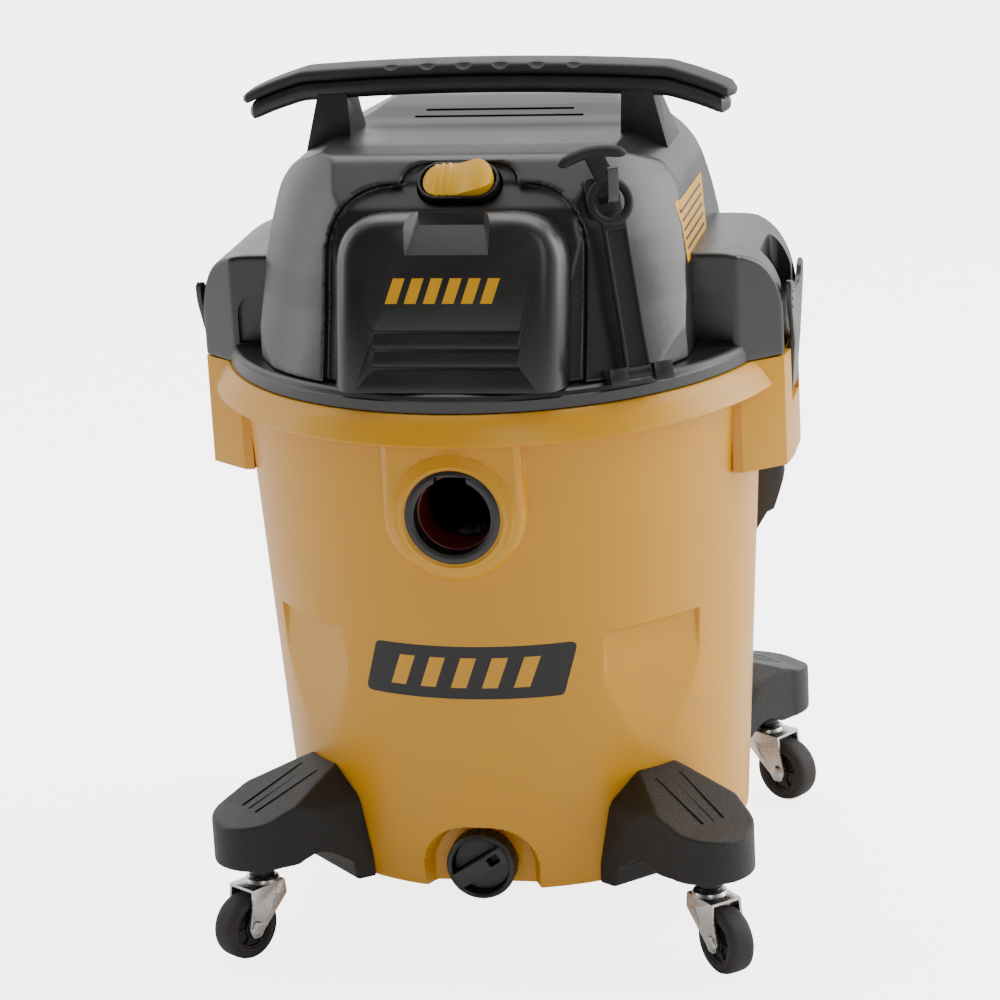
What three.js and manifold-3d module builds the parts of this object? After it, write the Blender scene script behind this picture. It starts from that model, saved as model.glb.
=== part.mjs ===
// Wet and dry shop vacuum, about 45 litres, on four swivel casters.
// Millimetres, +Z up. The origin is on the floor under the tank's axis; the hose inlet faces -Y.
import * as THREE from 'three';
import { mergeVertices } from 'three/addons/utils/BufferGeometryUtils.js';
import Module from 'manifold-3d';

const wasm = await Module();
wasm.setup();

// ---------------------------------------------------------------- driving dimensions
const gap = 0.3;              // clearance between pieces that touch
const running = 0.5;          // clearance around a piece that moves
const coverWall = 3;          // moulded lid, cover and leg wall

// casters
const wheelD = 50.8;
const wheelWidth = 20;
const wheelClearance = 4.2;   // wheel to the underside of the fork's bridge
const forkPlate = 2;
const trail = 20;
const axleR = 4;
const stemR = 5.5;
const neckHeight = 10;
const swivelReach = 244.7;    // tank axis to each swivel axis
const stemDepth = 28;         // how far the stem goes up into the leg
const casters = [             // corner, direction of the leg, direction the wheel trails
  { corner: 'front_left', leg: -135, trailing: -123 },
  { corner: 'front_right', leg: -45, trailing: -48 },
  { corner: 'rear_right', leg: 45, trailing: -33 },
  { corner: 'rear_left', leg: 135, trailing: 123 },
];

// legs
const legEndR = 34;
const legRootHalf = 50;
const legEndHeight = 36;
const legRootRise = 67;       // leg's rim up to its top at the tank
const legRimAboveBoss = 9;
const legBossR = 12;

// tank
const tankDrop = 22;          // tank's foot below the legs' rim
const tankBottomR = 178;
const tankTopR = 199.5;
const tankDepth = 383;
const tankWall = 3.5;
const rimDepth = 21;          // height of the rolled rim's skirt
const skirtFlare = 9.5;
const rimOverhang = 12;
const rimPlate = 3;
const earDepth = 85;          // tank ear, top to bottom
const earHalfInner = 66;
const earHalfOuter = 43;
const earProud = 27;          // ear face beyond the tank's top radius
const recessHalf = 43.5;      // flat panel above each leg
const recessTop = 203;        // above the tank's foot
const recessHeight = 94;
const recessDepth = 8.5;

// hose inlet
const portBoreR = 28.5;
const portWall = 3;
const portBezelR = 35.5;
const portBelowRim = 78;      // rim down to the inlet's axis
const bossHalf = 51;
const bossFaceY = 204;
const elbowR = 34;

// drain
const drainHeight = 20;       // foot up to the drain's axis
const drainArchR = 45;
const drainRecess = 18;
const drainHoleR = 12;
const drainCapR = 26.5;
const drainCapDepth = 16;

// tool bin on the back of the tank
const binTop = 292;           // above the tank's foot
const binHeight = 108;
const binDepth = 35;          // tank's wall out to the bin's outer face, at its top
const binFlat = 15;           // flat back, inside the bin's roundest reach
const binDividers = 3;

// lid
const flangeHeight = 14.7;
const flangeInset = 2.8;      // flange edge inside the rim's outer edge
const plugDepth = 14;
const airHoleR = 46;
const lidEarHeight = 70;      // deck up to the top of the lid's ear
const lidEarHalf = 69;

// motor cover
const coverFront = 203;       // cover's radius at the deck
const coverHeight = 168;
const coverHalfWidth = 162;

// handle
const handleLength = 378;
const handleDepth = 34;
const handleBar = 15;
const gripThickness = 8;
const handleRise = 177;       // deck up to the underside of the bar
const postHalfSpan = 103;     // inner face of each post at its foot

// switch
const rockerLength = 53;
const rockerWidth = 27;
const switchTilt = 45;
const rockerSwing = 1.8;      // room past each end of the rocker as it tips

// strap
const strapLength = 124;
const strapWidth = 18.5;
const strapThickness = 3;
const ringR = 14.5;
const ringBar = 3.4;
const strapStandOff = 9.558;  // cover's foot out to the strap's lower pin
const strapLean = 23.231;     // cover's foot in to the strap's ring
const strapFootAngle = -50.919;
const strapHeadAngle = -50.643;

// latches
const latchHeight = 95;
const latchTopWidth = 77;
const latchEyeR = 5;
const pinR = 2;

// motor, filter and float
const shroudR = 66;
const shroudHeight = 42;
const statorR = 44;
const statorHeight = 46;
const cageR = 52;
const cageLength = 150;
const filterR = 82;
const filterLength = 160;
const pleats = 36;
const floatR = 30;
const floatSeatR = 25;

// ---------------------------------------------------------------- heights and radii that follow
const wheelR = wheelD / 2;
const forkTopZ = wheelD + wheelClearance + forkPlate;
const bossZ = forkTopZ + neckHeight;
const legRimZ = bossZ + legRimAboveBoss;
const footZ = legRimZ - tankDrop;
const rimZ = footZ + tankDepth;
const skirtZ = rimZ - rimDepth;
const rimR = tankTopR + rimOverhang;
const skirtR = rimR + skirtFlare;
const flangeR = rimR - flangeInset;
const lidZ = rimZ + gap;
const deckZ = lidZ + flangeHeight;
const earX = tankTopR + earProud;
const earZ = rimZ - earDepth;
const portZ = rimZ - portBelowRim;
const drainZ = footZ + drainHeight;
const coverTopZ = deckZ + coverHeight;
const handleZ = deckZ + handleRise;
const latchPivot = new THREE.Vector2(earX - latchEyeR, rimZ - 33);
const motorZ = deckZ + 8;

// ---------------------------------------------------------------- materials
function plastic(color, roughness = 0.5) {
  return new THREE.MeshStandardMaterial({ color, roughness, metalness: 0 });
}

function metal(color, roughness = 0.35) {
  return new THREE.MeshStandardMaterial({ color, roughness, metalness: 0.9 });
}

const paint = {
  tank: plastic(0xfbb117, 0.4),
  black: plastic(0x1d1c1b, 0.55),
  cover: plastic(0x2a2725, 0.5),
  grip: plastic(0x4a494b, 0.7),
  rocker: plastic(0xf7b500, 0.35),
  rubber: plastic(0x39383a, 0.8),
  tyre: plastic(0x3b3735, 0.75),
  hub: plastic(0x171616, 0.5),
  zinc: metal(0xb9b4ae),
  steel: metal(0x8f9093),
  copper: metal(0xb5662f, 0.45),
  media: plastic(0xe9e6dc, 0.9),
  ball: plastic(0xe8e8e4, 0.4),
};

// ---------------------------------------------------------------- solids
function signedVolume(position, index) {
  let sum = 0;
  for (let i = 0; i < index.length; i += 3) {
    const [a, b, c] = [0, 1, 2].map((k) => new THREE.Vector3().fromArray(position, 3 * index[i + k]));
    sum += a.dot(b.cross(c));
  }
  return sum;
}

function solid(geometry) {
  const bare = geometry.clone();
  bare.deleteAttribute('normal');
  bare.deleteAttribute('uv');
  const merged = mergeVertices(bare, 1e-4);
  const position = merged.attributes.position.array;
  let index = Array.from(merged.index.array);
  const kept = [];
  for (let i = 0; i < index.length; i += 3) {
    const [a, b, c] = index.slice(i, i + 3);
    if (a !== b && b !== c && c !== a) kept.push(a, b, c);
  }
  index = signedVolume(position, kept) < 0 ? kept.reverse() : kept;
  return new wasm.Manifold(new wasm.Mesh({
    numProp: 3,
    vertProperties: new Float32Array(position),
    triVerts: new Uint32Array(index),
  }));
}

function toGeometry(manifold) {
  const mesh = manifold.getMesh();
  const geometry = new THREE.BufferGeometry();
  geometry.setAttribute('position', new THREE.BufferAttribute(mesh.vertProperties, 3));
  geometry.setIndex(new THREE.BufferAttribute(mesh.triVerts, 1));
  geometry.computeVertexNormals();
  return geometry;
}

function addPart(parent, name, manifold, material) {
  const mesh = new THREE.Mesh(toGeometry(manifold), material);
  mesh.name = name;
  parent.add(mesh);
  return mesh;
}

function outline(points) {
  return new THREE.Shape(points.map(([x, y]) => new THREE.Vector2(x, y)));
}

function asShape(section) {
  return section instanceof THREE.Shape ? section : outline(section);
}

// extrusions of a closed section along each axis; the section's own plane keeps a right-handed order
function prismZ(section, z0, z1, options = {}) {
  const geometry = new THREE.ExtrudeGeometry(asShape(section), {
    depth: z1 - z0, bevelEnabled: false, curveSegments: 10, ...options,
  });
  return solid(geometry.translate(0, 0, z0));
}

function prismY(section, y0, y1, options = {}) {
  const geometry = new THREE.ExtrudeGeometry(asShape(section), {
    depth: y1 - y0, bevelEnabled: false, curveSegments: 10, ...options,
  });
  return solid(geometry.rotateX(Math.PI / 2).translate(0, y1, 0));
}

const yzPlane = new THREE.Matrix4().makeBasis(
  new THREE.Vector3(0, 1, 0), new THREE.Vector3(0, 0, 1), new THREE.Vector3(1, 0, 0),
);

function prismX(section, x0, x1, options = {}) {
  const geometry = new THREE.ExtrudeGeometry(asShape(section), {
    depth: x1 - x0, bevelEnabled: false, curveSegments: 10, ...options,
  });
  return solid(geometry.applyMatrix4(yzPlane).translate(x0, 0, 0));
}

// a profile of [radius, height] pairs turned about the Z axis
function turned(profile, segments = 24) {
  const points = profile.map(([r, z]) => new THREE.Vector2(r, z));
  const closed = points[0].x > 0 || points[points.length - 1].x > 0 ? [...points, points[0].clone()] : points;
  return solid(new THREE.LatheGeometry(closed, segments).rotateX(Math.PI / 2));
}

function cylinderZ(radius, z0, z1, x = 0, y = 0, segments = 24) {
  const geometry = new THREE.CylinderGeometry(radius, radius, z1 - z0, segments);
  return solid(geometry.rotateX(Math.PI / 2).translate(x, y, (z0 + z1) / 2));
}

function cylinderY(radius, y0, y1, x = 0, z = 0, segments = 24) {
  const geometry = new THREE.CylinderGeometry(radius, radius, y1 - y0, segments);
  return solid(geometry.translate(x, (y0 + y1) / 2, z));
}

function block(x0, x1, y0, y1, z0, z1) {
  const geometry = new THREE.BoxGeometry(x1 - x0, y1 - y0, z1 - z0);
  return solid(geometry.translate((x0 + x1) / 2, (y0 + y1) / 2, (z0 + z1) / 2));
}

function ring(inner, outer, z0, z1, segments = 24) {
  return turned([[inner, z0], [outer, z0], [outer, z1], [inner, z1]], segments);
}

// moves each edge of a counter-clockwise polygon inwards by the same distance
function insetPolygon(points, distance) {
  const count = points.length;
  return points.map((point, i) => {
    const before = points[(i + count - 1) % count];
    const after = points[(i + 1) % count];
    const a = new THREE.Vector2(point[0] - before[0], point[1] - before[1]).normalize();
    const b = new THREE.Vector2(after[0] - point[0], after[1] - point[1]).normalize();
    const normalA = new THREE.Vector2(-a.y, a.x);
    const normalB = new THREE.Vector2(-b.y, b.x);
    const bisector = normalA.clone().add(normalB);
    const scale = 2 * distance / bisector.lengthSq();
    return [point[0] + bisector.x * scale, point[1] + bisector.y * scale];
  });
}

function stadium(halfLength, radius) {
  const shape = new THREE.Shape();
  const straight = halfLength - radius;
  shape.absarc(straight, 0, radius, -Math.PI / 2, Math.PI / 2, false);
  shape.absarc(-straight, 0, radius, Math.PI / 2, 3 * Math.PI / 2, false);
  return shape;
}

function arch(halfWidth, z0, z1, corner) {
  const shape = new THREE.Shape();
  shape.moveTo(-halfWidth, z0);
  shape.lineTo(halfWidth, z0);
  shape.lineTo(halfWidth, z1 - corner);
  shape.absarc(halfWidth - corner, z1 - corner, corner, 0, Math.PI / 2, false);
  shape.absarc(-halfWidth + corner, z1 - corner, corner, Math.PI / 2, Math.PI, false);
  return shape;
}

function spun(manifold, degrees) {
  return solid(toGeometry(manifold).rotateZ(THREE.MathUtils.degToRad(degrees)));
}

function group(parent, degrees = 0, x = 0, y = 0, z = 0) {
  const node = new THREE.Group();
  node.rotation.z = THREE.MathUtils.degToRad(degrees);
  node.position.set(x, y, z);
  parent.add(node);
  return node;
}

// ---------------------------------------------------------------- tank
function tankR(z) {
  return tankBottomR + (tankTopR - tankBottomR) * (z - footZ) / (skirtZ - footZ);
}

function tankOuter(clearance = 0) {
  const foot = 4;
  return turned([
    [0, footZ - clearance],
    [tankR(footZ) - foot + clearance, footZ - clearance],
    [tankR(footZ + foot) + clearance, footZ + foot],
    [tankR(rimZ) + clearance, rimZ],
    [0, rimZ],
  ], 40);
}

function tankRim() {
  return turned([
    [tankTopR - 2, rimZ],
    [tankTopR - 2, rimZ - rimPlate],
    [rimR - rimPlate, rimZ - rimPlate],
    [skirtR - rimPlate, skirtZ],
    [skirtR, skirtZ],
    [rimR, rimZ],
  ], 40);
}

function earPlan(outerX, inset = 0) {
  return insetPolygon([
    [tankTopR - 30, -earHalfInner],
    [earX - 33, -earHalfInner],
    [earX - 2.5, -earHalfOuter],
    [outerX, -earHalfOuter / 2],
    [outerX, earHalfOuter / 2],
    [earX - 2.5, earHalfOuter],
    [earX - 33, earHalfInner],
    [tankTopR - 30, earHalfInner],
  ], inset);
}

function latchSlot(z0, z1) {
  const half = latchTopWidth / 4 + 2;
  return block(latchPivot.x - latchEyeR - 1, earX + 9, -half, half, z0, z1);
}

function tankEar() {
  const ear = prismZ(earPlan(earX), earZ, rimZ);
  const pocket = prismZ(earPlan(earX, coverWall), earZ + coverWall, rimZ + 1)
    .subtract(tankOuter(0))
    .subtract(latchSlot(latchPivot.y - 12, rimZ + 2).add(block(earX - 15, earX + 9, -25, 25, earZ, rimZ + 2)));
  return { ear, pocket, slot: latchSlot(latchPivot.y - 9, rimZ + 1) };
}

// flat panels above the legs; grow pushes the face inwards for the wall's inner side
function legRecess(grow) {
  const half = recessHalf + grow;
  const z1 = footZ + recessTop + grow;
  const face = tankR(footZ + recessTop) - recessDepth - grow;
  const cutter = block(face, tankTopR + 30, -half, half, z1 - recessHeight - 2 * grow, z1);
  return casters.map(({ leg }) => spun(cutter, leg)).reduce((all, one) => all.add(one));
}

function drainRecessSolid(grow) {
  const shape = arch(drainArchR + grow, footZ - 20, drainZ + drainArchR * 0.72 + grow, drainArchR * 0.8);
  const faceY = -(tankR(drainZ) - drainRecess - grow);
  return prismY(shape, -tankTopR - 20, faceY);
}

function inletBoss(inset) {
  const shape = new THREE.Shape();
  const half = bossHalf - inset;
  shape.moveTo(-half, rimZ - 6 - inset);
  shape.lineTo(-half, portZ);
  shape.absarc(0, portZ, half, Math.PI, 2 * Math.PI, false);
  shape.lineTo(half, rimZ - 6 - inset);
  const bevel = 6;
  const geometry = new THREE.ExtrudeGeometry(shape, {
    depth: 40, bevelEnabled: true, bevelSize: bevel, bevelThickness: bevel, bevelOffset: -bevel,
    bevelSegments: 1, curveSegments: 10,
  });
  const front = bossFaceY - inset;
  return solid(geometry.rotateX(Math.PI / 2).translate(0, -front + 40 + bevel, 0));
}

function tank() {
  const { ear, pocket, slot } = tankEar();
  const inner = turned([
    [0, footZ + tankWall + 4],
    [tankR(footZ + 10) - tankWall - 6, footZ + tankWall + 4],
    [tankR(footZ + 16) - tankWall, footZ + 16],
    [tankR(rimZ) - tankWall, rimZ + 1],
    [0, rimZ + 1],
  ], 40)
    .subtract(legRecess(tankWall))
    .subtract(drainRecessSolid(tankWall))
    .add(inletBoss(tankWall).intersect(tankOuter(20)).subtract(block(-80, 80, -260, 0, rimZ - 12, rimZ + 9)));
  const base = turned([[0, footZ - 1], [tankR(footZ) - 16, footZ - 1], [tankR(footZ) - 18, footZ + 4],
    [0, footZ + 4]], 40);
  let outer = tankOuter().add(tankRim()).add(ear).add(spun(ear, 180));
  outer = outer.add(inletBoss(0).intersect(block(-80, 80, -260, -100, 0, rimZ - 1)));
  outer = outer.subtract(legRecess(0)).subtract(drainRecessSolid(0)).subtract(base);
  const pinHole = cylinderY(pinR + 0.1, -26, 26, latchPivot.x, latchPivot.y, 16);
  const drainHole = cylinderY(drainHoleR, -tankTopR - 20, -100, 0, drainZ);
  return outer
    .subtract(inner)
    .subtract(pocket).subtract(spun(pocket, 180))
    .subtract(slot).subtract(spun(slot, 180))
    .subtract(pinHole).subtract(spun(pinHole, 180))
    .subtract(cylinderY(portBoreR + portWall + gap, -bossFaceY - 20, -100, 0, portZ, 28))
    .subtract(drainHole);
}

// ---------------------------------------------------------------- inlet and drain
function inletPort() {
  const faceY = bossFaceY + 4;
  const tubeR = portBoreR + portWall;
  const profile = [
    [portBoreR, -faceY], [portBezelR - 1.5, -faceY], [portBezelR, -faceY + 1.5],
    [portBezelR, -bossFaceY - gap], [tubeR, -bossFaceY - gap], [tubeR, -bossFaceY + 46],
    [portBoreR, -bossFaceY + 46],
  ];
  const port = solid(toGeometry(turned(profile, 28)).rotateX(-Math.PI / 2).translate(0, 0, portZ));
  const notch = block(-12, 12, -faceY - 1, -faceY + 12, portZ + portBoreR - 4, portZ + portBoreR + 2.4);
  return port.subtract(notch);
}

// elbow inside the tank that turns the incoming air down
function inletElbow() {
  const bend = elbowR + 6;
  const startY = -bossFaceY + 46 + gap;
  const path = new THREE.CurvePath();
  const turn = new THREE.CubicBezierCurve3(
    new THREE.Vector3(0, startY, portZ),
    new THREE.Vector3(0, startY + bend * 0.55, portZ),
    new THREE.Vector3(0, startY + bend, portZ - bend * 0.45),
    new THREE.Vector3(0, startY + bend, portZ - bend),
  );
  path.add(turn);
  const section = new THREE.Shape().absarc(0, 0, portBoreR + portWall, 0, 2 * Math.PI, false);
  section.holes.push(new THREE.Path().absarc(0, 0, portBoreR, 0, 2 * Math.PI, true));
  return solid(new THREE.ExtrudeGeometry(section, { steps: 5, extrudePath: turn, curveSegments: 9 }));
}

function drainFaceY() {
  return -(tankR(drainZ) - drainRecess);
}

function drainSeal() {
  const seal = ring(drainHoleR + 0.5, drainHoleR + 6, 0, 2.2);
  return solid(toGeometry(seal).rotateX(Math.PI / 2).translate(0, drainFaceY() - gap, drainZ));
}

function drainCap() {
  const seat = 2.2 + 2 * gap;
  const cap = turned([
    [0, -8], [drainHoleR - running, -8], [drainHoleR - running, seat], [drainCapR, seat],
    [drainCapR, seat + drainCapDepth - 3], [drainCapR - 3, seat + drainCapDepth], [0, seat + drainCapDepth],
  ], 24);
  const well = turned([
    [0, seat + 5], [drainCapR - 6, seat + 5], [drainCapR - 4.5, seat + drainCapDepth + 1],
    [0, seat + drainCapDepth + 1],
  ], 24);
  const bar = block(-drainCapR, drainCapR, -5, 5, seat + 4, seat + drainCapDepth + 3)
    .intersect(cylinderZ(drainCapR - 1, 0, 40));
  const turnedCap = cap.subtract(well).add(bar).subtract(block(8, 17, -6, 6, seat + 6, seat + 13));
  const geometry = toGeometry(turnedCap).rotateZ(THREE.MathUtils.degToRad(33));
  return solid(geometry.rotateX(Math.PI / 2).translate(0, drainFaceY(), drainZ));
}

// ---------------------------------------------------------------- tool bin
function binBody(inset) {
  const z1 = footZ + binTop;
  const z0 = z1 - binHeight;
  const binReach = tankR(z1) + binDepth;
  const binBackY = binReach - binFlat;
  const step = 32;
  const body = turned([
    [tankBottomR - 20, z0 + inset], [tankR(z0) + 6 - inset, z0 + inset],
    [binReach - 18 - inset, z0 + step], [binReach - 13 - inset, z0 + step + 2],
    [binReach - inset, z0 + 2.4 * step], [binReach - inset, z1 + inset], [tankBottomR - 20, z1 + inset],
  ], 40);
  const half = binReach - 24 - inset;
  const low = binReach - 133;
  const limit = prismZ([[-half, low + inset], [half, low + inset], [half - 60, binBackY - inset],
    [60 - half, binBackY - inset]], z0 - 1, z1 + 2);
  return body.intersect(limit);
}

function toolBin() {
  const z1 = footZ + binTop;
  let pockets = binBody(coverWall).subtract(tankOuter(gap + coverWall));
  for (let i = 0; i < binDividers; i += 1) {
    const angle = 90 + (i - (binDividers - 1) / 2) * 33;
    pockets = pockets.subtract(spun(block(150, tankTopR + 60, -1.5, 1.5, 0, z1 + 9), angle));
  }
  return binBody(0).subtract(tankOuter(gap)).subtract(pockets);
}

// ---------------------------------------------------------------- legs and casters
function leg() {
  const rootX = tankBottomR - 14;
  const plan = new THREE.Shape();
  plan.moveTo(rootX, -legRootHalf);
  plan.lineTo(swivelReach, -legEndR);
  plan.absarc(swivelReach, 0, legEndR, -Math.PI / 2, Math.PI / 2, false);
  plan.lineTo(rootX, legRootHalf);
  const topEnd = legRimZ + legEndHeight;
  const topRoot = legRimZ + legRootRise;
  const tip = swivelReach + legEndR + 1;
  const side = [
    [rootX, footZ], [tankBottomR + 8, footZ], [tankBottomR + 9, legRimZ - 8],
    [swivelReach - 30, legRimZ + 8], [swivelReach - 12, legRimZ], [tip, legRimZ],
    [tip, topEnd - 5], [tip - 5, topEnd - 1], [swivelReach + 8, topEnd + 3], [rootX + 22, topRoot], [rootX, topRoot],
  ];
  const draft = [
    [-legRootHalf - 1, footZ], [legRootHalf + 1, footZ], [legRootHalf - 14, topRoot + 1],
    [14 - legRootHalf, topRoot + 1],
  ];
  const body = prismZ(plan, footZ - 1, topRoot + 1).intersect(prismY(side, -80, 80))
    .intersect(prismX(draft, rootX, tip + 1));
  const hollow = prismZ(insetShape(plan, coverWall), footZ - 2, topEnd - 6)
    .intersect(prismY([[tankR(legRimZ) + 6, footZ - 5], [tip, footZ - 5], [tip, topEnd - 6],
      [tankR(legRimZ) + 6, topEnd + 6]], -80, 80))
    .intersect(prismX(insetPolygon(draft, coverWall), rootX, tip + 1).add(block(rootX, tip, -42, 42, 0, legRimZ)));
  const boss = cylinderZ(legBossR, bossZ, topEnd - 4, swivelReach, 0, 16);
  const bore = cylinderZ(stemR + gap, bossZ - 1, bossZ + stemDepth + 1, swivelReach, 0, 14);
  return body.subtract(hollow).add(boss).subtract(bore).subtract(tankOuter(gap));
}

function insetShape(shape, distance) {
  const points = shape.getPoints(10).map(({ x, y }) => [x, y]);
  return insetPolygon(points, distance);
}

function casterStem() {
  return turned([
    [0, forkTopZ + gap], [stemR + 4.5, forkTopZ + gap], [stemR + 3, bossZ - 2], [stemR + 4.5, bossZ - gap],
    [stemR, bossZ - gap], [stemR, bossZ + stemDepth], [0, bossZ + stemDepth],
  ], 14);
}

function casterFork() {
  const half = wheelWidth / 2 + 1.4 + forkPlate;
  const eye = 7;
  const cheek = new THREE.Shape();
  cheek.moveTo(-11, forkTopZ);
  cheek.lineTo(-12.5, forkTopZ - 12);
  cheek.lineTo(trail - eye * 0.8, wheelR - eye * 0.75);
  cheek.absarc(trail, wheelR, eye, -2.4, 0.05, false);
  cheek.lineTo(trail + 2, forkTopZ - 16);
  cheek.lineTo(trail + 1, forkTopZ);
  const solidFork = prismY(cheek, -half, half, { curveSegments: 6 });
  const mouth = block(-20, trail + 20, -half + forkPlate, half - forkPlate, -5, forkTopZ - forkPlate);
  return solidFork.subtract(mouth).subtract(cylinderY(axleR + gap, -half - 1, half + 1, trail, wheelR, 12));
}

function casterAxle() {
  const half = wheelWidth / 2 + 1.4 + forkPlate;
  const pin = turned([
    [0, -half - 2], [axleR + 2, -half - 1.4], [axleR + 2, -half - gap], [axleR, -half - gap],
    [axleR, half + gap], [axleR + 2, half + gap], [axleR + 2, half + 1.4], [0, half + 2],
  ], 10);
  return solid(toGeometry(pin).rotateX(Math.PI / 2).translate(trail, 0, wheelR));
}

function casterTyre() {
  const half = wheelWidth / 2;
  const tyre = turned([
    [wheelR * 0.66, -half], [wheelR - 3, -half], [wheelR, -half + 4], [wheelR, half - 4],
    [wheelR - 3, half], [wheelR * 0.66, half],
  ], 22);
  return solid(toGeometry(tyre).rotateX(Math.PI / 2).translate(trail, 0, wheelR));
}

function casterHub() {
  const half = wheelWidth / 2 + 0.6;
  const rim = wheelR * 0.66 - gap;
  const hub = turned([
    [axleR + running, -half], [axleR + 3.5, -half], [axleR + 3.5, 4 - half], [rim, 2 - half],
    [rim, half - 2], [axleR + 3.5, half - 4], [axleR + 3.5, half], [axleR + running, half],
  ], 16);
  return solid(toGeometry(hub).rotateX(Math.PI / 2).translate(trail, 0, wheelR));
}

// ---------------------------------------------------------------- motor cover
// front, top and back of the cover seen from the side, as [y, z] counter-clockwise
function coverSide() {
  const z = (rise) => deckZ + rise;
  return [
    [-coverFront, z(0)], [coverFront - 14, z(0)], [coverFront - 26, z(80)], [coverFront - 52, z(136)],
    [coverFront - 92, z(160)], [62, z(coverHeight - 2)], [44, z(coverHeight - 6)], [26, z(150)],
    [-coverFront + 133, z(154)], [-coverFront + 97, z(153)], [-coverFront + 64, z(122)], [-coverFront + 56, z(98)],
  ];
}

function coverFace() {
  const z = (rise) => deckZ + rise;
  const half = coverHalfWidth;
  const right = [[half, z(0)], [half - 2, z(68)], [half - 10, z(123)], [half - 22, z(140)],
    [half - 44, z(150)], [half - 62, z(158)], [half - 76, z(coverHeight)]];
  const left = right.map(([x, height]) => [-x, height]).reverse();
  return [...right, ...left];
}

function coverPlan() {
  const half = coverHalfWidth + 4;
  const corner = [coverFront - 58, coverFront - 63];
  return [[-corner[0], -corner[1]], [-80, -coverFront - 2], [80, -coverFront - 2], [corner[0], -corner[1]],
    [half, -100], [half, 110], [120, coverFront], [-120, coverFront], [-half, 110], [-half, -100]];
}

function coverBody(inset) {
  const z = (rise) => deckZ + rise;
  const start = inset > 0 ? -1 : 0;
  const round = turned([
    [0, z(start)], [coverFront - inset, z(start)], [coverFront - 16 - inset, z(48)],
    [coverFront - 27 - inset, z(90)], [coverFront - 43 - inset, z(130)], [coverFront - 62 - inset, z(158)],
    [coverFront - 80 - inset, z(coverHeight) - inset], [0, z(coverHeight) - inset],
  ], 40);
  const open = inset > 0 ? block(-300, 300, -300, 300, deckZ - 2, deckZ + inset + 1) : null;
  const side = insetPolygon(coverSide(), inset);
  const face = insetPolygon(coverFace(), inset);
  const plan = insetPolygon(coverPlan(), inset);
  let sidePrism = prismX(side, -220, 220);
  let facePrism = prismY(face, -240, 240);
  if (open) {
    sidePrism = sidePrism.add(open.intersect(prismX(lowered(side, inset), -220, 220)));
    facePrism = facePrism.add(open.intersect(prismY(lowered(face, inset), -240, 240)));
  }
  return round.intersect(sidePrism).intersect(facePrism).intersect(prismZ(plan, deckZ - 9, coverTopZ + 9));
}

// carries the foot of an inset outline down through the deck, so that the shell is open below
function lowered(points, inset) {
  return points.map(([across, height]) => [across, height < deckZ + inset + 0.5 ? deckZ - 5 : height]);
}

const panel = { half: 65, outerHalf: 86, top: 118, ringHalf: 97, ringTop: 136, lean: 16, recess: 6 };

function panelRecess(extra) {
  const shape = arch(panel.ringHalf + extra, deckZ - 20, deckZ + panel.ringTop + extra, 42);
  return prismY(shape, -260, -60);
}

function switchFrame() {
  const y = -coverFront + 80.5;
  const z = deckZ + 137.5;
  return { y, z, tilt: THREE.MathUtils.degToRad(switchTilt) };
}

function atSwitch(geometry) {
  const { y, z, tilt } = switchFrame();
  return solid(geometry.rotateX(tilt).translate(0, y, z));
}

function switchHole(extra, depth) {
  const shape = stadium(rockerLength / 2 + 4 + extra, rockerWidth / 2 + 2.5 + extra);
  return new THREE.ExtrudeGeometry(shape, { depth: depth + 30, bevelEnabled: false, curveSegments: 8 })
    .translate(0, 0, -depth);
}

function switchTray(inset) {
  const shape = stadium(43 - inset, rockerWidth / 2 + 3.5 - inset);
  return atSwitch(new THREE.ExtrudeGeometry(shape, { depth: 30, bevelEnabled: false, curveSegments: 8 })
    .translate(0, 0, -5 - 2 * inset));
}

const blower = { z: deckZ + 62, x: 0, boreR: 28.5, wall: 4.5, faceY: coverFront - 2 };

function motorCover() {
  const cover = coverBody(0);
  const skin = cover.subtract(panelRecess(0).subtract(coverBody(panel.recess))).subtract(switchTray(0));
  const inner = coverBody(coverWall)
    .subtract(panelRecess(coverWall).subtract(coverBody(panel.recess + coverWall)))
    .subtract(atSwitch(new THREE.BoxGeometry(86 + 2 * coverWall, rockerWidth + 16, 40).translate(0, 0, 12)));
  const portHole = cylinderY(blower.boreR + blower.wall + gap, 100, 240, blower.x, blower.z, 32);
  return skin.subtract(inner).subtract(portHole).subtract(atSwitch(switchHole(0, 40)));
}

function frontPanel() {
  const bevel = 18;
  const lift = 3;
  const shape = arch(panel.outerHalf - bevel, -10, panel.top, 22);
  const depth = 60;
  const lean = THREE.MathUtils.degToRad(panel.lean);
  const front = (inset) => {
    const geometry = new THREE.ExtrudeGeometry(shape, {
      depth, bevelEnabled: true, bevelSize: bevel - inset, bevelThickness: bevel + 6 - inset, bevelSegments: 1,
      curveSegments: 8,
    });
    geometry.rotateX(Math.PI / 2).translate(0, depth + bevel + 6, 0);
    return solid(geometry.rotateX(-lean).translate(0, -coverFront - 2 + inset, deckZ));
  };
  const scoop = prismX([[-30, 12], [6, -12], [6, 40], [-30, 40]], -22, 22);
  const scoopSolid = solid(toGeometry(scoop).rotateX(-lean).translate(0, -coverFront + 2, deckZ + panel.top));
  const bounds = block(-120, 120, -260, -90, deckZ + gap, deckZ + panel.ringTop);
  return front(0).subtract(scoopSolid).intersect(bounds).subtract(coverBody(panel.recess - gap))
    .subtract(front(lift).subtract(scoopGrown(lean)).intersect(block(-120, 120, -260, -90, deckZ - 1, coverTopZ)));
}

function scoopGrown(lean) {
  const scoop = prismX([[-30, 8], [6, -16], [10, -16], [10, 40], [-30, 40]], -25, 25);
  return solid(toGeometry(scoop).rotateX(-lean).translate(0, -coverFront + 2, deckZ + panel.top));
}

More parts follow.
